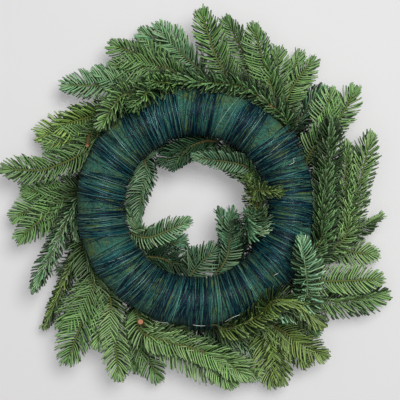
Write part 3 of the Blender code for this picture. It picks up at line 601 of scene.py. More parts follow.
class Feet:
    """The places for feet on the ring: each turn of the wire holds one foot at each tube angle."""

    def __init__(self):
        self.taken = set()

    def nearest(self, angle, lead, tube_angles):
        """The free place that lets a shoot out at least this lead before the angle, and nearest to that."""
        best = None
        for rank, tube_angle in enumerate(tube_angles):
            for turn in range(len(BUNDLE_ANGLES)):
                if (turn, tube_angle) in self.taken:
                    continue
                leaves = float(wire_angle(turn, tube_angle)) + BUNDLE_HALF_ANGLE
                before = (angle - leaves) % 360
                cost = before + FOOT_SWITCH_COST * rank if before >= lead else 360 + lead - before
                if best is None or cost < best[0]:
                    best = (cost, turn, tube_angle)
        self.taken.add(best[1:])
        return best[1:]


def foot_points(turn, tube_angle):
    """A stripped foot: it lies along the ring under one turn of the wire, and ends just after it."""
    middle = float(wire_angle(turn, tube_angle))
    start = middle - BUNDLE_HALF_ANGLE - FOOT_STUB_ANGLE
    end = middle + BUNDLE_HALF_ANGLE + FOOT_PAST_ANGLE
    flat = TUBE_RADIUS * math.cos(math.pi / TUBE_SIDES)
    distance = flat + FOOT_GAP + STEM_RADIUS
    return [tube_point(angle, tube_angle, distance) for angle in np.linspace(start, end, FOOT_POINTS)]


def twig(node, foot, passes, cut=TIP_REACH):
    """A twig from its foot through the points that it passes. The last one is where its needles end."""
    straight_on = (foot[-1] - foot[-2]) / np.linalg.norm(foot[-1] - foot[-2])
    run = resampled([foot[-1], foot[-1] + straight_on * LEAD_OUT_LENGTH] + passes, cut)
    path = np.concatenate([np.array(foot), run[1:]])
    return Shoot(node, path, np.arange(len(path)) >= FOOT_POINTS)


def listed_twigs(rows, feet, lead):
    shoots = []
    for name, tip_height, tube_angles, *points in rows:
        turn, tube_angle = feet.nearest(points[0][0], lead, tube_angles)
        foot = foot_points(turn, tube_angle)
        passes = with_heights(points, foot[-1], tip_height)
        shoots.append(twig(f"fir_twig_{name}", foot, passes))
    return shoots


def joint_of(parent, share):
    """Which point of the twig is this share of its free length along it."""
    free = np.flatnonzero(parent.free)
    return int(free[0] + share * (len(free) - 1))


def side_shoot(parent, share, tip):
    """A side shoot from this share of its twig's free length to the tip."""
    joint = joint_of(parent, share)
    path = resampled([parent.path[joint], tip], TIP_REACH)
    return Shoot(parent.node, path, np.arange(len(path)) > 0, parent, joint)


def resting_twig(node, foot, belly, tip):
    """A twig of the front that presses on the table: a level pad at its belly."""
    half = (tip - foot[-1]) * (1, 1, 0)
    half *= PAD_HALF_LENGTH / np.linalg.norm(half)
    main = twig(node, foot, [belly - half], cut=0)
    beyond = resampled([belly + half, tip], TIP_REACH)
    main.pad = len(main.path) - 1
    main.path = np.concatenate([main.path, beyond])
    main.free = np.arange(len(main.path)) >= FOOT_POINTS
    main.free[main.pad : main.pad + 2] = False
    return main


def front_twig(index, feet):
    turns = index % len(FRONT_TUBE_ANGLES)
    tube_angles = FRONT_TUBE_ANGLES[turns:] + FRONT_TUBE_ANGLES[:turns]
    foot = foot_points(*feet.nearest(FRONT_START + 360 * index / FRONT_TWIGS, 0, tube_angles))
    leaves = math.degrees(math.atan2(foot[-1][1], foot[-1][0]))
    tip_radius = FRONT_TIP_RADII[index % len(FRONT_TIP_RADII)]
    middle_radius = (math.hypot(foot[-1][0], foot[-1][1]) + tip_radius) / 2
    node = f"fir_twig_c{index + 1:02d}"
    tip = polar(leaves + FRONT_SWEEP, tip_radius, FRONT_TIP_HEIGHT)
    if index in FRONT_RESTING:
        return resting_twig(node, foot, polar(leaves + FRONT_SWEEP / 2, middle_radius, 0), tip)
    return twig(node, foot, [polar(leaves + FRONT_SWEEP / 2, middle_radius, FRONT_BELLY_HEIGHT), tip])


def front_side_shoot(main, share, turned):
    joint = joint_of(main, share)
    heading = main.path[joint + 1] - main.path[joint - 1]
    angle = math.degrees(math.atan2(heading[1], heading[0])) + turned
    tip = main.path[joint] + polar(angle, FRONT_SIDE_LENGTH, 0)
    tip[2] = FRONT_SIDE_HEIGHT
    return side_shoot(main, share, tip)


def front_side_shoots(main, shares, turns):
    return [front_side_shoot(main, share, turned) for share, turned in zip(shares, turns)]


def front_twigs(feet):
    """The twigs under the ring, each with two side shoots. Three of them carry the wreath."""
    shoots = []
    for index in range(FRONT_TWIGS):
        main = front_twig(index, feet)
        shoots += [main] + front_side_shoots(main, FRONT_SIDE_SHARES, FRONT_SIDE_TURNS)
    return shoots


def listed_side_shoots(rows, shoots):
    mains = {shoot.node: shoot for shoot in shoots if shoot.parent is None}
    sides = []
    for name, share, height, tip in rows:
        sides.append(side_shoot(mains[f"fir_twig_{name}"], share, polar(*tip, height)))
    return sides


def all_shoots():
    feet = Feet()
    shoots = listed_twigs(OUTER_TWIGS, feet, OUTER_LEAD) + listed_twigs(INNER_TWIGS, feet, INNER_LEAD)
    return shoots + listed_side_shoots(SIDE_SHOOTS, shoots) + front_twigs(feet)


def fine_shoots(shoots):
    """More side shoots, on the twigs that need them and on each twig of the front."""
    fine = listed_side_shoots(FINE_SHOOTS, shoots)
    for shoot in shoots:
        if shoot.node.startswith("fir_twig_c") and shoot.parent is None:
            fine += front_side_shoots(shoot, FINE_FRONT_SHARES, FINE_FRONT_TURNS)
    return fine


def extend_tip(shoot):
    """Lengthens a shoot to the end of its needles, and keeps it off the table."""
    reach = STEM_END + EXTRA_REACH.get(shoot.node.removeprefix("fir_twig_"), 0)
    end = shoot.path[-1] + unit(shoot.path[-1] - shoot.path[-2]) * reach
    shoot.path = np.concatenate([shoot.path, [end]])
    shoot.path[:, 2] = np.maximum(shoot.path[:, 2], LEAST_BARK_HEIGHT)


def keep_out_of_ring(shoot):
    """Moves free points out of the ring and its wire. A stem rises from its foot after the wire's turn."""
    angles, tube_angles, distances = tube_coordinates(shoot.path)
    top = wire_top(tube_angles) + STEM_RADIUS + STEM_CLEARANCE
    if shoot.parent is None:
        along = lengths_along(shoot.path)
        share = np.clip((along - along[FOOT_POINTS - 1]) / RISE_LENGTH, 0, 1)
        share = share * share * (3 - 2 * share)
        start = TUBE_RADIUS + FOOT_GAP + STEM_RADIUS
        top = start + (top - start) * share
    short = np.where(shoot.free, np.maximum(top - distances, 0), 0)
    shoot.path += out_of_tube(angles, tube_angles) * short[:, None]
    low = shoot.free & (shoot.path[:, 2] < LEAST_STEM_HEIGHT)
    shoot.path[low, 2] = LEAST_STEM_HEIGHT


def make_room(shoots):
    """Lets the stems spring apart, mostly up and down, while each stays smooth and near its own line."""
    homes = [shoot.path.copy() for shoot in shoots]
    owner = np.concatenate([np.full(len(shoot.path), number) for number, shoot in enumerate(shoots)])
    nodes = [shoot.node for shoot in shoots]
    family = np.array([nodes.index(nodes[number]) for number in owner])
    starts = np.cumsum([0] + [len(shoot.path) for shoot in shoots])
    for step in range(RELAX_STEPS):
        points = np.concatenate([shoot.path for shoot in shoots])
        if step % PAIRS_KEPT_FOR == 0:
            first, second = near_pairs(points, owner, family, starts)
        gap = points[first] - points[second]
        apart = np.linalg.norm(gap, axis=1)
        gap *= (SIDEWAYS_SHARE, SIDEWAYS_SHARE, 1)
        gap[:, 2] += np.where(first > second, TIE_BREAK, -TIE_BREAK)
        push = gap / np.linalg.norm(gap, axis=1)[:, None]
        push *= (PUSH_SHARE * np.maximum(STEM_SPACING - apart, 0))[:, None]
        moves = np.zeros_like(points)
        np.add.at(moves, first, push)
        moves = np.clip(moves, -MOST_PUSH, MOST_PUSH)
        for number, shoot in enumerate(shoots):
            path = shoot.path
            bend = np.zeros_like(path)
            bend[1:-1] = (path[:-2] + path[2:]) / 2 - path[1:-1]
            pull = (homes[number] - path) * HOME_PULL
            move = BEND_SHARE * bend + pull + moves[starts[number] : starts[number + 1]]
            path[shoot.free] += move[shoot.free]
            keep_out_of_ring(shoot)
            if shoot.parent is not None:
                path[0] = shoot.parent.path[shoot.joint]


def near_pairs(points, owner, family, starts):
    """Pairs of near points of different shoots, but for those where a side shoot leaves its twig."""
    gaps = points[:, None, :].astype(np.float32) - points[None, :, :].astype(np.float32)
    near = np.einsum("ijk,ijk->ij", gaps, gaps) < (STEM_SPACING + PAIR_MARGIN) ** 2
    near &= owner[:, None] != owner[None, :]
    first, second = np.nonzero(near)
    from_root = (np.arange(len(points)) - starts[owner]) * PATH_STEP
    at_junction = np.minimum(from_root[first], from_root[second]) < JUNCTION_LENGTH
    keep = ~(at_junction & (family[first] == family[second]))
    return first[keep], second[keep]


def frames_along(points):
    """Two directions square to the path and to each other at each point, turned as little as possible."""
    ahead = np.gradient(points, axis=0)
    ahead /= np.linalg.norm(ahead, axis=1)[:, None]
    side = np.cross(ahead[0], (0, 0, 1.0))
    if np.linalg.norm(side) < UPRIGHT:
        side = np.cross(ahead[0], (1.0, 0, 0))
    sides = []
    for direction in ahead:
        side = side - direction * np.dot(side, direction)
        side /= np.linalg.norm(side)
        sides.append(side)
    sides = np.array(sides)
    return sides, np.cross(ahead, sides)


def unit(vectors):
    return vectors / np.linalg.norm(vectors, axis=-1, keepdims=True)


def square_to(ways, vectors):
    """The part of each vector that is square to its own unit way."""
    return vectors - ways * np.einsum("ij,ij->i", vectors, ways)[:, None]


def between(first, second, angles):
    """The directions at these angles from the first towards the second, which is square to it."""
    return first * np.cos(angles)[:, None] + second * np.sin(angles)[:, None]


def ring_quads(shares, around, closed=False):
    """Quads between rings of points round a line, and each quad corner's share of the length and of the way
    round. shares are the rings' places along the line. If closed, the last one is the first ring again."""
    rings = len(shares) - closed
    ring, corner = np.meshgrid(np.arange(len(shares) - 1), np.arange(around), indexing="ij")
    here, there = ring * around, (ring + 1) % rings * around
    beside = (corner + 1) % around
    quads = np.stack([here + corner, here + beside, there + beside, there + corner], axis=-1)
    along = shares[np.stack([ring, ring, ring + 1, ring + 1], axis=-1)]
    across = np.stack([corner, corner + 1, corner + 1, corner], axis=-1) / around
    return quads.reshape(-1, 4), along.reshape(-1, 4), across.reshape(-1, 4)


def linear(colour):
    """A colour named by its screen values from 0 to 255, as the linear values that shaders take."""
    part = np.asarray(colour, float) / 255
    return np.where(part <= 0.04045, part / 12.92, ((part + 0.055) / 1.055) ** 2.4)


class Skin:
    """Gathers the quads of one piece, with the values that its materials read at each point."""

    def __init__(self):
        self.vertices, self.quads, self.slots, self.maps = [], [], [], []
        self.tones, self.rounds, self.alongs, self.frosts_and_highlights = [], [], [], []
        self.count = 0

    def add(self, vertices, quads, uv, slot, tones, rounds, alongs, frosts_and_highlights=0.0):
        """vertices (n, 3) in millimetres, quads (m, 4), uv (m, 4, 2), and each vertex's values."""
        self.vertices.append(vertices)
        self.quads.append(quads + self.count)
        self.maps.append(uv)
        self.slots.append(np.full(len(quads), slot))
        self.tones.append(np.broadcast_to(tones, (len(vertices), 3)))
        self.rounds.append(np.broadcast_to(rounds, len(vertices)))
        self.alongs.append(np.broadcast_to(alongs, len(vertices)))
        self.frosts_and_highlights.append(np.broadcast_to(frosts_and_highlights, len(vertices)))
        self.count += len(vertices)

    def mesh(self, name, offset):
        vertices = (np.concatenate(self.vertices) + offset) * METRES
        quads = np.concatenate(self.quads)
        mesh = bpy.data.meshes.new(name)
        mesh.vertices.add(len(vertices))
        mesh.vertices.foreach_set("co", vertices.ravel())
        mesh.loops.add(quads.size)
        mesh.loops.foreach_set("vertex_index", quads.ravel().astype(np.int32))
        mesh.polygons.add(len(quads))
        mesh.polygons.foreach_set("loop_start", np.arange(0, quads.size, 4, dtype=np.int32))
        mesh.polygons.foreach_set("material_index", np.concatenate(self.slots).astype(np.int32))
        mesh.polygons.foreach_set("use_smooth", np.ones(len(quads), bool))
        mesh.update(calc_edges=True)
        uv = mesh.uv_layers.new(name="OFBake")
        uv.data.foreach_set("uv", np.concatenate(self.maps).ravel().astype(np.float32))
        tones = np.concatenate(self.tones)
        tone = mesh.attributes.new("tone", "FLOAT_COLOR", "POINT")
        tone.data.foreach_set("color", np.column_stack([tones, np.ones(len(tones))]).ravel())
        for kind, values in (("round", self.rounds), ("along", self.alongs), ("frost_and_highlight", self.frosts_and_highlights)):
            attribute = mesh.attributes.new(kind, "FLOAT", "POINT")
            attribute.data.foreach_set("value", np.concatenate(values).astype(np.float32))
        mesh.validate()
        return mesh


@dataclass
class Blades:
    """Flat leaves such as needles: where each starts, its way, the way its upper side faces, its bend, its
    length and half width, its colour with any painted light and shade, and how pale its bands are, partly as
    a painted highlight."""

    root: np.ndarray
    way: np.ndarray
    face: np.ndarray
    bend: np.ndarray
    length: np.ndarray
    width: np.ndarray
    tone: np.ndarray
    frost_and_highlight: np.ndarray

    def point(self, share):
        reach = (self.length * share)[:, None]
        return self.root + self.way * reach + self.bend * reach * share

    def kept(self, keep):
        return Blades(*(getattr(self, name)[keep] for name in self.__dataclass_fields__))


def joined(all_blades):
    names = Blades.__dataclass_fields__
    return Blades(*(np.concatenate([getattr(blades, name) for blades in all_blades]) for name in names))


def cells(count, shape, low, high):
    """Lower left corners and the size of equal cells that fill the map between two heights. shape is a cell's
    height over its width."""
    across = max(1, math.ceil(math.sqrt(count * shape / (high - low))))
    down = math.ceil(count / across)
    size = np.array([1 / across, (high - low) / down])
    index = np.arange(count)
    corners = np.stack([index % across * size[0], low + index // across * size[1]], axis=1)
    return corners + size * CELL_MARGIN, size * (1 - 2 * CELL_MARGIN)


def add_blades(skin, blades, slot, shares, widths, low=0.0, high=1.0):
    """Each blade as rings of four points: left edge, groove, right edge and keel. The blades' cells fill the
    map between the heights low and high."""
    count, share = len(blades.root), np.array(shares)
    middle = np.stack([blades.point(place) for place in shares], axis=1)
    ahead = unit(blades.way[:, None] + 2 * blades.bend[:, None] * share[None, :, None])
    side = unit(np.cross(ahead, blades.face[:, None]))
    half = (blades.width[:, None] * np.array(widths)[None])[..., None]
    thick = half * np.cross(side, ahead)
    edges = [middle - side * half, middle + thick * GROOVE, middle + side * half, middle - thick * KEEL]
    points = np.stack(edges, axis=2)
    walls, along, across = ring_quads(share, 4)
    last = 4 * (len(share) - 1)
    tip = np.array([[last, last + 1, last + 2, last + 3]])
    first = (np.arange(count) * len(share) * 4)[:, None, None]
    quads = np.concatenate([(part + first).reshape(-1, 4) for part in (walls, tip)])
    corners, size = cells(count, BLADE_CELL, low, high)
    maps = (np.stack([across, along], axis=-1), BLADE_TIP_CELL)
    uv = np.concatenate([(corners[:, None, None] + part * size).reshape(-1, 4, 2) for part in maps])
    tones = np.repeat(blades.tone, len(share) * 4, axis=0)
    rounds = np.tile((0.0, -1.0, 0.0, 1.0), count * len(share))
    alongs = np.tile(np.repeat(share, 4), count)
    frosts_and_highlights = np.repeat(blades.frost_and_highlight, len(share) * 4)
    skin.add(points.reshape(-1, 3), quads, uv, slot, tones, rounds, alongs, frosts_and_highlights)


def add_tube(skin, path, radii, slot, tone, strip, along=None, first_slot=None):
    """A round stem along the path, closed at both ends, with a radius at each point and side. strip is its
    (low, high) part of the map's height, along its places in the bark's colours, and first_slot the material
    of the end that it starts with."""
    rings, sides = radii.shape
    side, over = frames_along(path)
    angles = 2 * math.pi * np.arange(sides) / sides
    ring = np.cos(angles)[:, None] * side[:, None] + np.sin(angles)[:, None] * over[:, None]
    points = path[:, None] + ring * radii[..., None]
    length = lengths_along(path)
    walls, u, v = ring_quads(length / length[-1], sides)
    low, high = strip
    uv = np.stack([WALL_START + u * WALL_WIDTH, v * (high - low) + low], axis=-1)
    alongs = np.repeat(length / length[-1] if along is None else along, sides)
    skin.add(points.reshape(-1, 3), walls, uv, slot, tone, np.tile(np.cos(angles), rings), alongs)
    fan = np.array([[0, step, step + 1, step + 2] for step in range(1, sides - 2, 2)])
    disk = np.stack([np.cos(angles), np.sin(angles)], axis=1) * CAP_RADIUS + 0.5
    disk = np.array([CAP_START, low]) + disk * (CAP_WIDTH, high - low)
    starts_with = slot if first_slot is None else first_slot
    for end, turned, cap_slot in ((0, fan[:, ::-1], starts_with), (rings - 1, fan, slot)):
        skin.add(points[end], turned, disk[turned], cap_slot, tone, 0.0, alongs[end * sides])


def rotated(vectors, axes, angles):
    """Each vector turned about its own unit axis."""
    cosine, sine = np.cos(angles)[:, None], np.sin(angles)[:, None]
    along = np.einsum("ij,ij->i", vectors, axes)[:, None]
    return vectors * cosine + np.cross(axes, vectors) * sine + axes * along * (1 - cosine)


def shoot_frames(path, places, roll):
    """At these lengths along a shoot: points, the way ahead, its underside's direction and its right."""
    ahead = unit(values_at(path, unit(np.gradient(path, axis=0)), places))
    under = unit(np.array([0, 0, 1.0]) - ahead * ahead[:, 2:])
    under = rotated(under, ahead, np.full(len(places), math.radians(roll)))
    return points_at(path, places), ahead, under, np.cross(ahead, under)


def needle_places(shoot, look, chance):
    """Where a shoot's needles grow along it, and how far each is from the first place and from the tip."""
    along = lengths_along(shoot.path)
    first = along[FOOT_POINTS - 1] + STEM_BARE if shoot.parent is None else SIDE_BARE
    count = int((along[-1] - first) * look.density)
    spread = np.arange(count) + PLACE_SPREAD * chance.random(count)
    places = first + (along[-1] - first) * spread / (count + 1)
    return places, places - first, along[-1] - places


def needle_lengths(look, side, over, from_foot, from_tip, chance):
    """Shorter on the upper side, near the tip and near the foot."""
    length = NEEDLE_LENGTH * look.length * (1 - TOP_SHORTER * over)
    length *= np.where(side > 0, look.right, look.left)
    length *= chance.uniform(1 - LENGTH_SPREAD * look.disorder, MOST_LENGTH, len(side))
    length *= TIP_SHARE + (1 - TIP_SHARE) * np.clip(from_tip / TIP_ZONE, 0, 1) ** TIP_GROWTH
    return length * (FOOT_SHARE + (1 - FOOT_SHARE) * np.clip(from_foot / FOOT_ZONE, 0, 1))


def grow_needles(shoot, look, chance):
    """The needles of one shoot: parted left and right of the stem on its underside, dense on its upper
    side."""
    places, from_foot, from_tip = needle_places(shoot, look, chance)
    count = len(places)
    points, ahead, under, right = shoot_frames(shoot.path, places, look.roll)
    turns = np.arange(count)
    low, high, painted_shading = np.array(ROWS)[turns % len(ROWS)].T
    side = np.where(turns // len(ROWS) % 2 == 0, 1.0, -1.0)
    around = look.parting + low + (high - low) * chance.random(count)
    around += chance.normal(0, AROUND_SPREAD * look.disorder, count)
    around = np.radians(np.minimum(around, 180))
    out = between(under, right * side[:, None], around)
    over = np.clip((np.degrees(around) - OVER_FROM) / OVER_WIDTH, 0, 1)
    full_tilt = SIDE_TILT - (SIDE_TILT - TOP_TILT) * over
    tilt = np.radians(TIP_TILT + (full_tilt - TIP_TILT) * np.clip(from_tip / TIP_ZONE, 0, 1))
    tilt += chance.normal(0, TILT_SPREAD * look.disorder, count)
    way = between(ahead, out, tilt)
    length = needle_lengths(look, side, over, from_foot, from_tip, chance)
    bend = square_to(way, ahead) * chance.normal(BEND, BEND_SPREAD * look.disorder, count)[:, None]
    bend += chance.normal(0, WAVER * look.disorder, (count, 3)) + np.cross(ahead, way) * look.swirl
    face = rotated(unit(-square_to(way, under)), way, chance.normal(0, math.radians(FACE_TWIST), count))
    width = NEEDLE_HALF_WIDTH * chance.uniform(*WIDTH_RANGE, count)
    radius = np.interp(places, (0, lengths_along(shoot.path)[-1]), (BARK_RADIUS, BARK_TIP_RADIUS))
    root = points + out * (radius * ROOT_DEPTH)[:, None]
    tone, frost_and_highlight = needle_tones(look, count, chance)
    # Painted light and shade: the open row is lightened, the rows behind it and the needles deep beside the
    # ring are darkened, and the pale bands fade with the shade
    painted_shading = painted_shading**look.depth * ring_shade(points)
    tone = tone * painted_shading[:, None] ** SHADE_POWERS
    return Blades(root, way, face, bend, length, width, tone, frost_and_highlight * np.minimum(painted_shading, 1))


def ring_shade(points):
    """How light needles are painted that grow from here: 1 in the open, and less deep down beside the ring,
    as painted shade where the ring shades them.
    """
    beside = np.abs(np.hypot(points[:, 0], points[:, 1]) - RING_MEAN_RADIUS) - TUBE_RADIUS
    near = np.clip(1 - beside / SHADE_WIDTH, 0, 1)
    deep = np.clip((SHADE_TOP - points[:, 2]) / (SHADE_TOP - SHADE_BOTTOM), 0, 1)
    return 1 - SHADE_SHARE * near * deep


def grow_tuft(shoot, look, chance):
    """The short needles round a shoot's bud, spread wide like a star where the shoot points up."""
    count = round(TUFT_NEEDLES * (1 + look.star))
    places = lengths_along(shoot.path)[-1] - chance.uniform(0, TUFT_DEPTH, count)
    points, ahead, under, right = shoot_frames(shoot.path, places, look.roll)
    out = between(under, right, 2 * math.pi * (np.arange(count) * GOLDEN_SHARE % 1))
    way = between(ahead, out, np.radians(chance.uniform(*TUFT_TILTS, count) + STAR_TILT * look.star))
    length = chance.uniform(*TUFT_LENGTHS, count) * (1 + (STAR_LENGTH - 1) * look.star)
    face = unit(square_to(way, ahead))
    width = NEEDLE_HALF_WIDTH * chance.uniform(*TUFT_WIDTHS, count)
    tone, frost_and_highlight = needle_tones(look, count, chance)
    return Blades(points + out * TUFT_ROOT, way, face, face * TUFT_BEND, length, width, tone, frost_and_highlight)


def needle_tones(look, count, chance):
    """The shoot's colour with each needle a little lighter or darker, and a little yellower or bluer, and how
    pale each needle's bands are, partly as a painted highlight."""
    tones = np.tile(linear(look.tone), (count, 1))
    tones *= np.exp(chance.normal(0, TONE_SPREAD, (count, 1)))
    shift = chance.normal(0, HUE_SPREAD, count)
    tones *= np.stack([1 + shift, np.ones(count), 1 - shift], axis=1)
    return np.clip(tones, *TONE_LIMITS), np.clip(look.frost_and_highlight * chance.uniform(*FROST_AND_HIGHLIGHT_RANGE, count), 0, 1)


def steer_clear(blades):
    """Turns the needles that would enter the ring, the table or the hole's clear part, and leaves out the few
    that still would."""
    for _ in range(STEER_STEPS):
        push = np.zeros_like(blades.way)
        for share in STEER_SHARES:
            push += short_of_clear(blades.point(share)) / (share * blades.length)[:, None]
        blades.way = unit(blades.way + push * STEER_RATE)
        blades.face = unit(square_to(blades.way, blades.face))
    short = [np.linalg.norm(short_of_clear(blades.point(share)), axis=1) for share in STEER_SHARES]
    return blades.kept(np.max(short, axis=0) < STEER_LEFT)


def short_of_clear(points):
    """How each point must move to be out of the ring with its wire, over the table and out of the hole."""
    angles, tube_angles, distances = tube_coordinates(points)
    short = np.maximum(TUBE_RADIUS + NEEDLE_CLEARANCE - distances, 0)
    move = out_of_tube(angles, tube_angles) * short[:, None]
    move[:, 2] += np.maximum(LEAST_NEEDLE_HEIGHT - points[:, 2], 0)
    x, y = points[:, 0], points[:, 1]
    gaps = np.stack([x - HOLE_X[0], HOLE_X[1] - x, y - HOLE_Y[0], HOLE_Y[1] - y], axis=1)
    inside = gaps.min(axis=1) > 0
    nearest = gaps.argmin(axis=1)
    outward = np.array([[-1, 0, 0], [1, 0, 0], [0, -1, 0], [0, 1, 0]], float)[nearest]
    return move + outward * (gaps.min(axis=1) * inside)[:, None]


@dataclass
class Look:
    """How a shoot's needles are set and coloured. frost is how pale their bands are, partly as a painted
    highlight, roll turns the shoot's underside away from the camera, density is the needles per millimetre,
    parting is half the angle that the underside leaves bare, left and right are shares of the needles'
    length, star spreads the shoot's tip, depth is how much the rows differ in their painted light and shade,
    stem is a share of the bark's radius, and swirl bends the needles round the stem."""

    tone: tuple
    frost_and_highlight: float
    roll: float
    density: float
    parting: float = PARTING
    length: float = 1.0
    left: float = 1.0
    right: float = 1.0
    disorder: float = 1.0
    star: float = 0.0
    depth: float = 1.0
    stem: float = 1.0
    swirl: float = 0.0


def look_of(shoot, chance):
    name = shoot.node.removeprefix("fir_twig_")
    in_front = name[0] == "c"
    tone, frost_and_highlight = TONES[TWIG_TONES.get(name, "front" if in_front else "mid")]
    tone = np.array(tone) * chance.uniform(*TWIG_TONES_RANGE)
    density = FRONT_DENSITY if in_front else NEEDLES_PER_MM
    look = Look(tone, frost_and_highlight, chance.normal(0, ROLL_SPREAD), density, **TWIG_LOOKS.get(name, {}))
    look.parting = max(look.parting + chance.normal(0, PARTING_SPREAD), LEAST_PARTING)
    look.length *= chance.uniform(*TWIG_LENGTHS_RANGE)
    look.depth *= FRONT_DEPTH if in_front else 1.0
    return look


def add_stem(skin, shoot, look, strip, chance):
    """The bark of one shoot, with small bumps where needles sit, and its buds."""
    length = lengths_along(shoot.path)[-1]
    path = points_at(shoot.path, np.linspace(0, length, max(4, round(length / STEM_STEP))))
    share = np.linspace(0, 1, len(path))
    radii = (BARK_RADIUS + (BARK_TIP_RADIUS - BARK_RADIUS) * share) * look.stem
    if shoot.parent is not None:
        radii += COLLAR * np.exp(-share * COLLAR_FADE)
    bumps = 1 + chance.uniform(-BARK_BUMPS, BARK_BUMPS, (len(path), STEM_SIDES))
    middle = strip[0] + (strip[1] - strip[0]) * BARK_STRIP
    add_tube(skin, path, radii[:, None] * bumps, BARK, linear(look.tone), (strip[0], middle), share, CUT_WOOD)
    add_buds(skin, path[-1], unit(path[-1] - path[-2]), (middle, strip[1]))


def add_buds(skin, tip, ahead, strip):
    across = unit(np.cross(ahead, (0, 0, 1.0)))
    step = (strip[1] - strip[0]) / len(BUDS)
    for number, (lean, size) in enumerate(BUDS):
        way = unit(ahead + across * lean)
        path = tip - ahead * BUD_DEPTH + way * (BUD_LENGTH * size * BUD_SHARES)[:, None]
        radii = np.tile((BUD_RADIUS * size * BUD_RADII)[:, None], STEM_SIDES)
        place = (strip[0] + step * number, strip[0] + step * (number + STRIP_SHARE))
        add_tube(skin, path, radii, BARK, linear(BUD_TONE), place, np.full(len(path), BUD_ALONG))


def add_cut_end(skin, radius, course):
    """A short piece of twig whose cut end shows."""
    path = bent([polar(*point) for point in course], CUT_END_POINTS)
    radii = np.full((CUT_END_POINTS, CUT_END_SIDES), radius)
    along = np.full(CUT_END_POINTS, CUT_END_ALONG)
    add_tube(skin, path, radii, BARK, linear(BUD_TONE), CUT_END_STRIP, along, CUT_WOOD)


def ring_frame(angles, tube_angles):
    """Directions at points round the ring: along it, out of the tube's surface, and round the tube."""
    turn, out = np.radians(angles), out_of_tube(angles, tube_angles)
    along = np.stack([-np.sin(turn), np.cos(turn), np.zeros_like(turn)], axis=-1)
    return along, out, np.cross(out, along)


def ring_points(angles, tube_angles, distances):
    turn = np.radians(angles)
    centre = np.stack([np.cos(turn), np.sin(turn), np.zeros_like(turn)], axis=-1) * RING_MEAN_RADIUS
    return centre + (0, 0, RING_HEIGHT) + out_of_tube(angles, tube_angles) * distances[..., None]


def lumps(angles, tube_angles, chance):
    """Smooth uneven heights over the covering, the same at 0 and 360 degrees."""
    height = np.zeros(np.broadcast(angles, tube_angles).shape)
    for waves, share in LUMP_WAVES:
        for _ in range(WAVES_EACH):
            round_ring = int(chance.integers(waves // 2, waves * 2))
            round_tube = int(chance.integers(1, max(2, waves // 3)))
            start = chance.uniform(0, 2 * math.pi)
            phase = np.radians(angles) * round_ring + np.radians(tube_angles) * round_tube + start
            height += share / WAVES_EACH * np.sin(phase)
    return height


def covering_skin(chance):
    """The ring's green covering as one uneven skin."""
    turns = np.arange(COVER_SEGMENTS) * 360 / COVER_SEGMENTS
    sides = np.arange(COVER_SIDES) * 360 / COVER_SIDES
    angles, tube_angles = np.meshgrid(turns, sides, indexing="ij")
    distances = COVER_RADIUS + COVER_LUMPS * lumps(angles, tube_angles, chance)
    points = ring_points(angles, tube_angles, distances).reshape(-1, 3)
    quads, u, v = ring_quads(np.arange(COVER_SEGMENTS + 1) / COVER_SEGMENTS, COVER_SIDES, closed=True)
    uv = np.stack([u, v], axis=-1)
    skin = Skin()
    skin.add(points, quads[:, OTHER_WAY_ROUND], uv[:, OTHER_WAY_ROUND], 0, np.ones(3), 0.0, 0.0)
    return skin


def fibre_places(chance):
    """Angles round the axis and the tube: on the back, and few under the bundles of wire."""
    angles = chance.uniform(0, 360, FIBRES_TRIED)
    tube_angles = chance.normal(FIBRE_MIDDLE, FIBRE_SPREAD, FIBRES_TRIED)
    from_bundle = off_the_wire(angles, tube_angles) + BUNDLE_HALF_ANGLE
    bare = np.clip(from_bundle / OPEN_WIDTH, 0, 1) ** OPEN_POWER
    share = UNDER_WIRE_SHARE + (1 - UNDER_WIRE_SHARE) * bare
    keep = np.flatnonzero(chance.random(FIBRES_TRIED) < share)[:FIBRES]
    return angles[keep], tube_angles[keep]


def fibre_skin(chance):
    """Short fibres of the covering, thicker between the bundles of wire on the back."""
    angles, tube_angles = fibre_places(chance)
    count = len(angles)
    along, out, round_tube = ring_frame(angles, tube_angles)
    way = between(along, round_tube, chance.normal(0, FIBRE_TURN, count))
    way *= chance.choice((-1.0, 1.0), count)[:, None]
    way = unit(way + out * chance.uniform(*FIBRE_RISE, count)[:, None])
    length = chance.uniform(*FIBRE_LENGTHS, count)
    root = ring_points(angles, tube_angles, COVER_RADIUS + chance.uniform(*FIBRE_LIFTS, count))
    bend = -out * (length / TUBE_RADIUS / 2)[:, None] + chance.normal(0, FIBRE_WAVER, (count, 3))
    kinds = chance.choice(len(FIBRE_TONES), count, p=FIBRE_SHARES)
    tone = linear(np.array(FIBRE_TONES))[kinds] * np.exp(chance.normal(0, FIBRE_TONE_SPREAD, (count, 1)))
    width = chance.uniform(*FIBRE_HALF_WIDTHS, count)
    skin = Skin()
    blades = Blades(root, way, out, bend, length, width, tone, np.zeros(count))
    add_blades(skin, blades, 0, FIBRE_FORM_SHARES, FIBRE_FORM_WIDTHS)
    return skin


def feet_by_bundle(shoots):
    """The tube angles at which twigs' feet lie under each bundle of wire."""
    feet = [[] for _ in BUNDLE_ANGLES]
    for shoot in shoots:
        if shoot.parent is None:
            foot = shoot.path[:FOOT_POINTS].mean(axis=0)
            angle, tube_angle, _ = (float(value) for value in tube_coordinates(foot))
            turns = [float(wire_angle(turn, tube_angle)) for turn in range(len(BUNDLE_ANGLES))]
            apart = [abs((angle - turn + 180) % 360 - 180) for turn in turns]
            feet[int(np.argmin(apart))].append(tube_angle)
    return feet


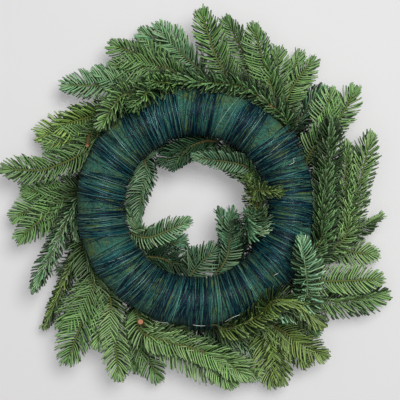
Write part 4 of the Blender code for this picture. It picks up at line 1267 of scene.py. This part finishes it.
def wire_run(feet, tube_angles):
    """How far a bundle's inner side is from the tube's centre line: it hugs the ring, and runs straight over
    each foot that lies under it."""
    tight = TUBE_RADIUS + OVER_RING
    run = np.full(len(tube_angles), tight)
    leaves = math.degrees(math.acos(tight / (tight + OVER_FOOT)))
    for foot in feet:
        apart = np.abs((tube_angles - foot + 180) % 360 - 180)
        run = np.maximum(run, tight / np.cos(np.radians(np.maximum(leaves - apart, 0))))
    return run


def wire_turns(plan, filled, chance):
    """For each turn of the wire: its bundle, its place on the outer and the inner side in degrees off the
    bundle's middle, and its layer."""
    count, spread_out, spread_in, layer = plan
    bundle = chance.integers(0, len(BUNDLE_ANGLES), count)
    outer = chance.uniform(-1, 1, count) * spread_out
    inner = outer * spread_in / spread_out + chance.normal(0, WIRE_CROSSING, count)
    if filled:
        moved = np.flatnonzero(chance.random(count) < FILLED_SHARE)
        middle = chance.choice(FILLED_GAPS, len(moved))
        nearest = [int(np.argmin([abs(angle - place) for angle in BUNDLE_ANGLES])) for place in middle]
        bundle[moved] = nearest
        shift = middle - np.array(BUNDLE_ANGLES)[nearest]
        outer[moved] = shift + chance.uniform(-FILLED_HALF_ANGLE, FILLED_HALF_ANGLE, len(moved))
        inner[moved] = shift + chance.uniform(-FILLED_HALF_ANGLE, FILLED_HALF_ANGLE, len(moved))
    return bundle, outer, inner, chance.uniform(*layer, count)


def bundle_middles(steps):
    """Where each bundle's middle is at these tube angles: leaning as on the back, all the way round."""
    lean = BUNDLE_LEAN * np.sin(np.radians(steps - 90))
    return np.array(BUNDLE_ANGLES)[:, None] + lean


def wire_skin(turns, feet, shares, chance):
    """The turns of wire, each a closed loop round the ring's tube."""
    bundle, outer, inner, layer = turns
    count = len(bundle)
    steps = np.arange(WIRE_STEPS) * 360.0 / WIRE_STEPS
    runs = np.stack([wire_run(angles, steps) for angles in feet])
    outward = (1 + np.cos(np.radians(steps))) / 2
    swing = chance.normal(0, WIRE_SWAY, (count, 1))
    sway = swing * np.sin(2 * np.radians(steps) + chance.uniform(*SWAY_STARTS, (count, 1)))
    kinds = chance.choice(len(WIRE_TONES), count, p=shares)
    # Painted shade: the turns in the lowest layers, under the others, are all navy
    kinds = np.where(layer > np.quantile(layer, SHADED_LAYERS), kinds, 0)
    radius = np.where(kinds > 1, PALE_RADIUS, WIRE_RADIUS)[:, None, None, None]
    angles = bundle_middles(steps)[bundle] + outer[:, None] * outward + inner[:, None] * (1 - outward) + sway
    tube_angles = np.broadcast_to(steps, angles.shape)
    centre = ring_points(angles, tube_angles, runs[bundle] + layer[:, None] + WIRE_RADIUS)
    ahead = unit(np.roll(centre, -1, axis=1) - np.roll(centre, 1, axis=1))
    side = unit(np.cross(ahead, out_of_tube(angles, tube_angles)))
    up = np.cross(side, ahead)
    corners = 2 * math.pi * (np.arange(WIRE_SIDES) + WIRE_CORNER) / WIRE_SIDES
    ring = np.cos(corners)[:, None] * side[:, :, None] + np.sin(corners)[:, None] * up[:, :, None]
    points = centre[:, :, None] + ring * radius
    quads, u, v = ring_quads(np.arange(WIRE_STEPS + 1) / WIRE_STEPS, WIRE_SIDES, closed=True)
    first = (np.arange(count) * WIRE_STEPS * WIRE_SIDES)[:, None, None]
    low, size = cells(count, WIRE_CELL, 0.0, 1.0)
    uv = (low[:, None, None] + np.stack([u, v], axis=-1) * size).reshape(-1, 4, 2)
    tone = linear(np.array(WIRE_TONES))[kinds] * np.exp(chance.normal(0, WIRE_TONE_SPREAD, (count, 1)))
    tones = np.repeat(tone, WIRE_STEPS * WIRE_SIDES, axis=0)
    alongs = np.tile(np.repeat(steps / 360, WIRE_SIDES), count)
    skin = Skin()
    skin.add(points.reshape(-1, 3), (quads + first).reshape(-1, 4), uv, 0, tones, 0.0, alongs)
    return skin


def bent(corners, count):
    """A smooth curve from the first corner to the last, drawn towards those between."""
    share = np.linspace(0, 1, count)[:, None, None]
    points = np.tile(np.array(corners, float), (count, 1, 1))
    while points.shape[1] > 1:
        points = points[:, :-1] * (1 - share) + points[:, 1:] * share
    return points[:, 0]


def loose_skin():
    """The pale strands that have come loose on the ring."""
    skin = Skin()
    for number, corners in enumerate(LOOSE_STRANDS):
        angles, tube_angles, lift = bent(corners, LOOSE_POINTS).T
        path = ring_points(angles, tube_angles, TUBE_RADIUS + lift)
        strip = (number / len(LOOSE_STRANDS), (number + STRIP_SHARE) / len(LOOSE_STRANDS))
        radii = np.full((LOOSE_POINTS, LOOSE_SIDES), LOOSE_RADIUS)
        add_tube(skin, path, radii, 0, linear(LOOSE_TONE), strip)
    return skin


# Materials


class Nodes:
    """Shorthand for building a material's node tree."""

    def __init__(self, name):
        self.material = bpy.data.materials.new(name)
        self.material.use_nodes = True
        self.tree = self.material.node_tree
        self.shader = self.tree.nodes["Principled BSDF"]

    def node(self, kind, **values):
        made = self.tree.nodes.new(kind)
        for name, value in values.items():
            setattr(made, name, value)
        return made

    def link(self, source, target):
        self.tree.links.new(source, target)

    def attribute(self, name, output="Fac"):
        return self.node("ShaderNodeAttribute", attribute_name=name).outputs[output]

    def noise(self, scale, detail, roughness=0.55):
        made = self.node("ShaderNodeTexNoise")
        made.inputs["Scale"].default_value = scale
        made.inputs["Detail"].default_value = detail
        made.inputs["Roughness"].default_value = roughness
        self.link(self.node("ShaderNodeTexCoord").outputs["Object"], made.inputs["Vector"])
        return made.outputs["Fac"]

    def ramp(self, value, stops):
        made = self.node("ShaderNodeValToRGB")
        elements = made.color_ramp.elements
        while len(elements) < len(stops):
            elements.new(0.5)
        for element, (position, colour) in zip(elements, stops):
            element.position = position
            element.color = (*colour, 1)
        self.link(value, made.inputs["Fac"])
        return made.outputs["Color"]

    def scaled(self, value, low, high, new_low, new_high):
        made = self.node("ShaderNodeMapRange")
        for name, number in zip(("From Min", "From Max", "To Min", "To Max"), (low, high, new_low, new_high)):
            made.inputs[name].default_value = number
        self.link(value, made.inputs["Value"])
        return made.outputs["Result"]

    def stretched_noise(self, scale, detail, *stretch):
        return self.scaled(self.noise(scale, detail), *stretch)

    def times(self, colour, value):
        """The colour with its brightness multiplied by the value."""
        return self.mix(1.0, colour, self.mix(value, BLACK, WHITE), "MULTIPLY")

    def mix(self, share, first, second, blend="MIX"):
        made = self.node("ShaderNodeMix", data_type="RGBA", blend_type=blend)
        for socket, value in ((made.inputs[0], share), (made.inputs[6], first), (made.inputs[7], second)):
            if isinstance(value, bpy.types.NodeSocket):
                self.link(value, socket)
            elif isinstance(value, (int, float)):
                socket.default_value = value
            else:
                socket.default_value = (*value, 1)
        return made.outputs[2]

    def bump(self, height, strength, distance):
        made = self.node("ShaderNodeBump")
        made.inputs["Strength"].default_value = strength
        made.inputs["Distance"].default_value = distance
        self.link(height, made.inputs["Height"])
        self.link(made.outputs["Normal"], self.shader.inputs["Normal"])

    def finish(self, colour, roughness):
        self.link(colour, self.shader.inputs["Base Color"])
        if isinstance(roughness, float):
            self.shader.inputs["Roughness"].default_value = roughness
        else:
            self.link(roughness, self.shader.inputs["Roughness"])
        return self.material


def toned(stops):
    return [(place, linear(tone)) for place, tone in stops]


def greys(stops):
    return [(place, (value, value, value)) for place, value in stops]


def needle_material():
    """Each needle's green, with its painted light and shade, with a pale band each side of the keel below
    that is partly a painted highlight, a dark groove above, a yellowish root and uneven gloss."""
    nodes = Nodes("fir needle")
    side = nodes.scaled(nodes.attribute("round"), -1, 1, 0, 1)
    banded = nodes.mix(1.0, nodes.attribute("tone", "Color"), nodes.ramp(side, NEEDLE_BANDS), "MULTIPLY")
    amount = nodes.times(nodes.ramp(side, greys(BAND_SHARES)), nodes.attribute("frost_and_highlight"))
    colour = nodes.mix(amount, banded, FROST_AND_HIGHLIGHT)
    root = nodes.ramp(nodes.attribute("along"), greys(ROOT_SHARES))
    colour = nodes.mix(root, colour, linear(ROOT_TONE))
    colour = nodes.times(colour, nodes.stretched_noise(*NEEDLE_BLOTCHES))
    nodes.shader.inputs["Specular IOR Level"].default_value = NEEDLE_SPECULAR
    return nodes.finish(colour, nodes.stretched_noise(*NEEDLE_GLOSS))


def bark_material():
    """Brown old wood at a twig's foot, olive then green towards the tip, and red-brown buds."""
    nodes = Nodes("fir bark")
    grain = nodes.noise(*BARK_NOISE)
    colour = nodes.ramp(nodes.scaled(nodes.attribute("along"), 0, 2, 0, 1), toned(BARK_STOPS))
    colour = nodes.mix(BARK_OWN_TONE, colour, nodes.attribute("tone", "Color"))
    colour = nodes.mix(nodes.scaled(grain, *BARK_CREVICES), colour, linear(BARK_DARK))
    nodes.bump(grain, *BARK_BUMP)
    return nodes.finish(colour, BARK_ROUGHNESS)


def cut_wood_material():
    nodes = Nodes("cut wood")
    return nodes.finish(nodes.ramp(nodes.noise(*CUT_WOOD_NOISE), toned(CUT_WOOD_STOPS)), CUT_WOOD_ROUGHNESS)


def covering_material():
    """Green moss and hay on straw, with straw-coloured flecks and dark blotches of painted shade."""
    nodes = Nodes("mossy covering")
    fine = nodes.noise(*MOSS_NOISE)
    colour = nodes.ramp(nodes.noise(*MOSS_PATCHES), toned(MOSS_STOPS))
    colour = nodes.mix(nodes.scaled(fine, *MOSS_HOLLOWS), colour, linear(MOSS_SHADE))
    colour = nodes.mix(nodes.scaled(nodes.noise(*STRAW_NOISE), *STRAW_FLECKS), colour, linear(STRAW))
    nodes.bump(fine, *MOSS_BUMP)
    return nodes.finish(colour, COVER_ROUGHNESS)


def fibre_material():
    nodes = Nodes("moss and hay fibre")
    colour = nodes.times(nodes.attribute("tone", "Color"), nodes.stretched_noise(*FIBRE_SHADES))
    return nodes.finish(colour, FIBRE_ROUGHNESS)


def wire_material():
    """Lacquered wire: each turn its own tone, navy as painted shade and pale as painted highlight, a little
    worn.
    """
    nodes = Nodes("lacquered wire")
    colour = nodes.times(nodes.attribute("tone", "Color"), nodes.stretched_noise(*WIRE_WEAR))
    nodes.shader.inputs["Metallic"].default_value = WIRE_METALLIC
    return nodes.finish(colour, nodes.stretched_noise(*WIRE_GLOSS))


def floor_material():
    nodes = Nodes("pale floor")
    # Painted light: the floor glows, which lifts the shadows on it
    nodes.shader.inputs["Emission Color"].default_value = (*FLOOR_GLOW, 1)
    nodes.shader.inputs["Emission Strength"].default_value = 1.0
    stops = list(zip(FLOOR_STOPS, (linear(FLOOR_TONE), linear(FLOOR_TONE) * FLOOR_LIGHTER)))
    return nodes.finish(nodes.ramp(nodes.noise(*FLOOR_NOISE), stops), FLOOR_ROUGHNESS)


# The pieces


def piece(name, skin, offset, materials, slot, *replaced):
    """An object of this skin that rides on the wreath's one body and stands for its CAD nodes."""
    made = bpy.data.objects.new(name, skin.mesh(name, offset))
    bpy.context.scene.collection.objects.link(made)
    for surface in materials:
        made.data.materials.append(surface)
    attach(made, BODY)
    if replaced:
        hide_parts(*replaced)


def sprigs(shoots, offset, chance):
    """The fir: one piece for each twig with its side shoots."""
    materials = [needle_material(), bark_material(), cut_wood_material()]
    by_node = {}
    for shoot in shoots:
        by_node.setdefault(shoot.node, []).append(shoot)
    for node, family in by_node.items():
        skin = Skin()
        looks = [look_of(shoot, chance) for shoot in family]
        grown = [grow_needles(shoot, look, chance) for shoot, look in zip(family, looks)]
        grown += [grow_tuft(shoot, look, chance) for shoot, look in zip(family, looks)]
        blades = steer_clear(joined(grown))
        add_blades(skin, blades, NEEDLE, NEEDLE_SHARES, NEEDLE_WIDTHS, low=STEM_STRIP)
        height = STEM_STRIP / len(family)
        for number, (shoot, look) in enumerate(zip(family, looks)):
            add_stem(skin, shoot, look, (height * number, height * (number + STEM_SHARE)), chance)
        if node in CUT_ENDS:
            add_cut_end(skin, *CUT_ENDS[node])
        piece(node.replace("fir_twig", "fir_sprig"), skin, offset, materials, "fir", node)


def bound_ring(shoots, offset, chance):
    """The ring's covering, its fibres and the wire."""
    piece("mossy_ring", covering_skin(chance), offset, [covering_material()], "straw_covering", "ring_form")
    piece("ring_fibres", fibre_skin(chance), offset, [fibre_material()], "straw_covering")
    wire = wire_material()
    feet = feet_by_bundle(shoots)
    tight = wire_skin(wire_turns(TIGHT_TURNS, True, chance), feet, TIGHT_SHARES, chance)
    piece("wound_wire", tight, offset, [wire], "lacquered_wire", "binding_wire")
    stray = wire_skin(wire_turns(STRAY_TURNS, False, chance), feet, STRAY_SHARES, chance)
    piece("stray_wire", stray, offset, [wire], "lacquered_wire")
    piece("loose_strands", loose_skin(), offset, [wire], "lacquered_wire")


def floor():
    mesh = bpy.data.meshes.new("floor")
    half = FLOOR_SIZE / 2
    corners = [(-half, -half, 0), (half, -half, 0), (half, half, 0), (-half, half, 0)]
    mesh.from_pydata(corners, [], [(0, 1, 2, 3)])
    made = bpy.data.objects.new("floor", mesh)
    made.data.materials.append(floor_material())
    bpy.context.scene.collection.objects.link(made)


def area_light(name, place, size, power, colour):
    data = bpy.data.lights.new(name, "AREA")
    data.shape = "DISK"
    data.size = size
    data.energy = power
    data.color = colour
    made = bpy.data.objects.new(name, data)
    made.location = place
    aim = np.array(LIGHT_TARGET) - np.array(place)
    made.rotation_euler = Vector(aim).to_track_quat("-Z", "Y").to_euler()
    bpy.context.scene.collection.objects.link(made)


def studio():
    floor()
    for name, light in LIGHTS.items():
        area_light(name, *light)
    world = bpy.data.worlds.new("studio")
    bpy.context.scene.world = world
    world.use_nodes = True
    background = world.node_tree.nodes["Background"]
    background.inputs["Color"].default_value = (*SKY_COLOUR, 1)
    background.inputs["Strength"].default_value = SKY_STRENGTH
    bpy.context.scene.view_settings.view_transform = "Standard"


def camera(offset):
    """Straight above the wound back, as in the photograph."""
    data = bpy.data.cameras.new("camera")
    data.sensor_width = SENSOR_WIDTH
    data.lens = SENSOR_WIDTH * CAMERA_HEIGHT / VIEW_WIDTH
    made = bpy.data.objects.new("camera", data)
    made.location = (offset + (VIEW_X, VIEW_Y, RING_HEIGHT + CAMERA_HEIGHT)) * METRES
    bpy.context.scene.collection.objects.link(made)
    bpy.context.scene.camera = made


def main():
    low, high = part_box("ring_form")
    offset = np.array([(low[0] + high[0]) / 2, (low[1] + high[1]) / 2, 0]) / METRES
    chance = np.random.default_rng(SEED)
    camera(offset)
    studio()
    shoots = all_shoots()
    make_room(shoots)
    shoots += fine_shoots(shoots)
    for shoot in shoots:
        extend_tip(shoot)
    sprigs(shoots, offset, chance)
    bound_ring(shoots, offset, chance)


main()
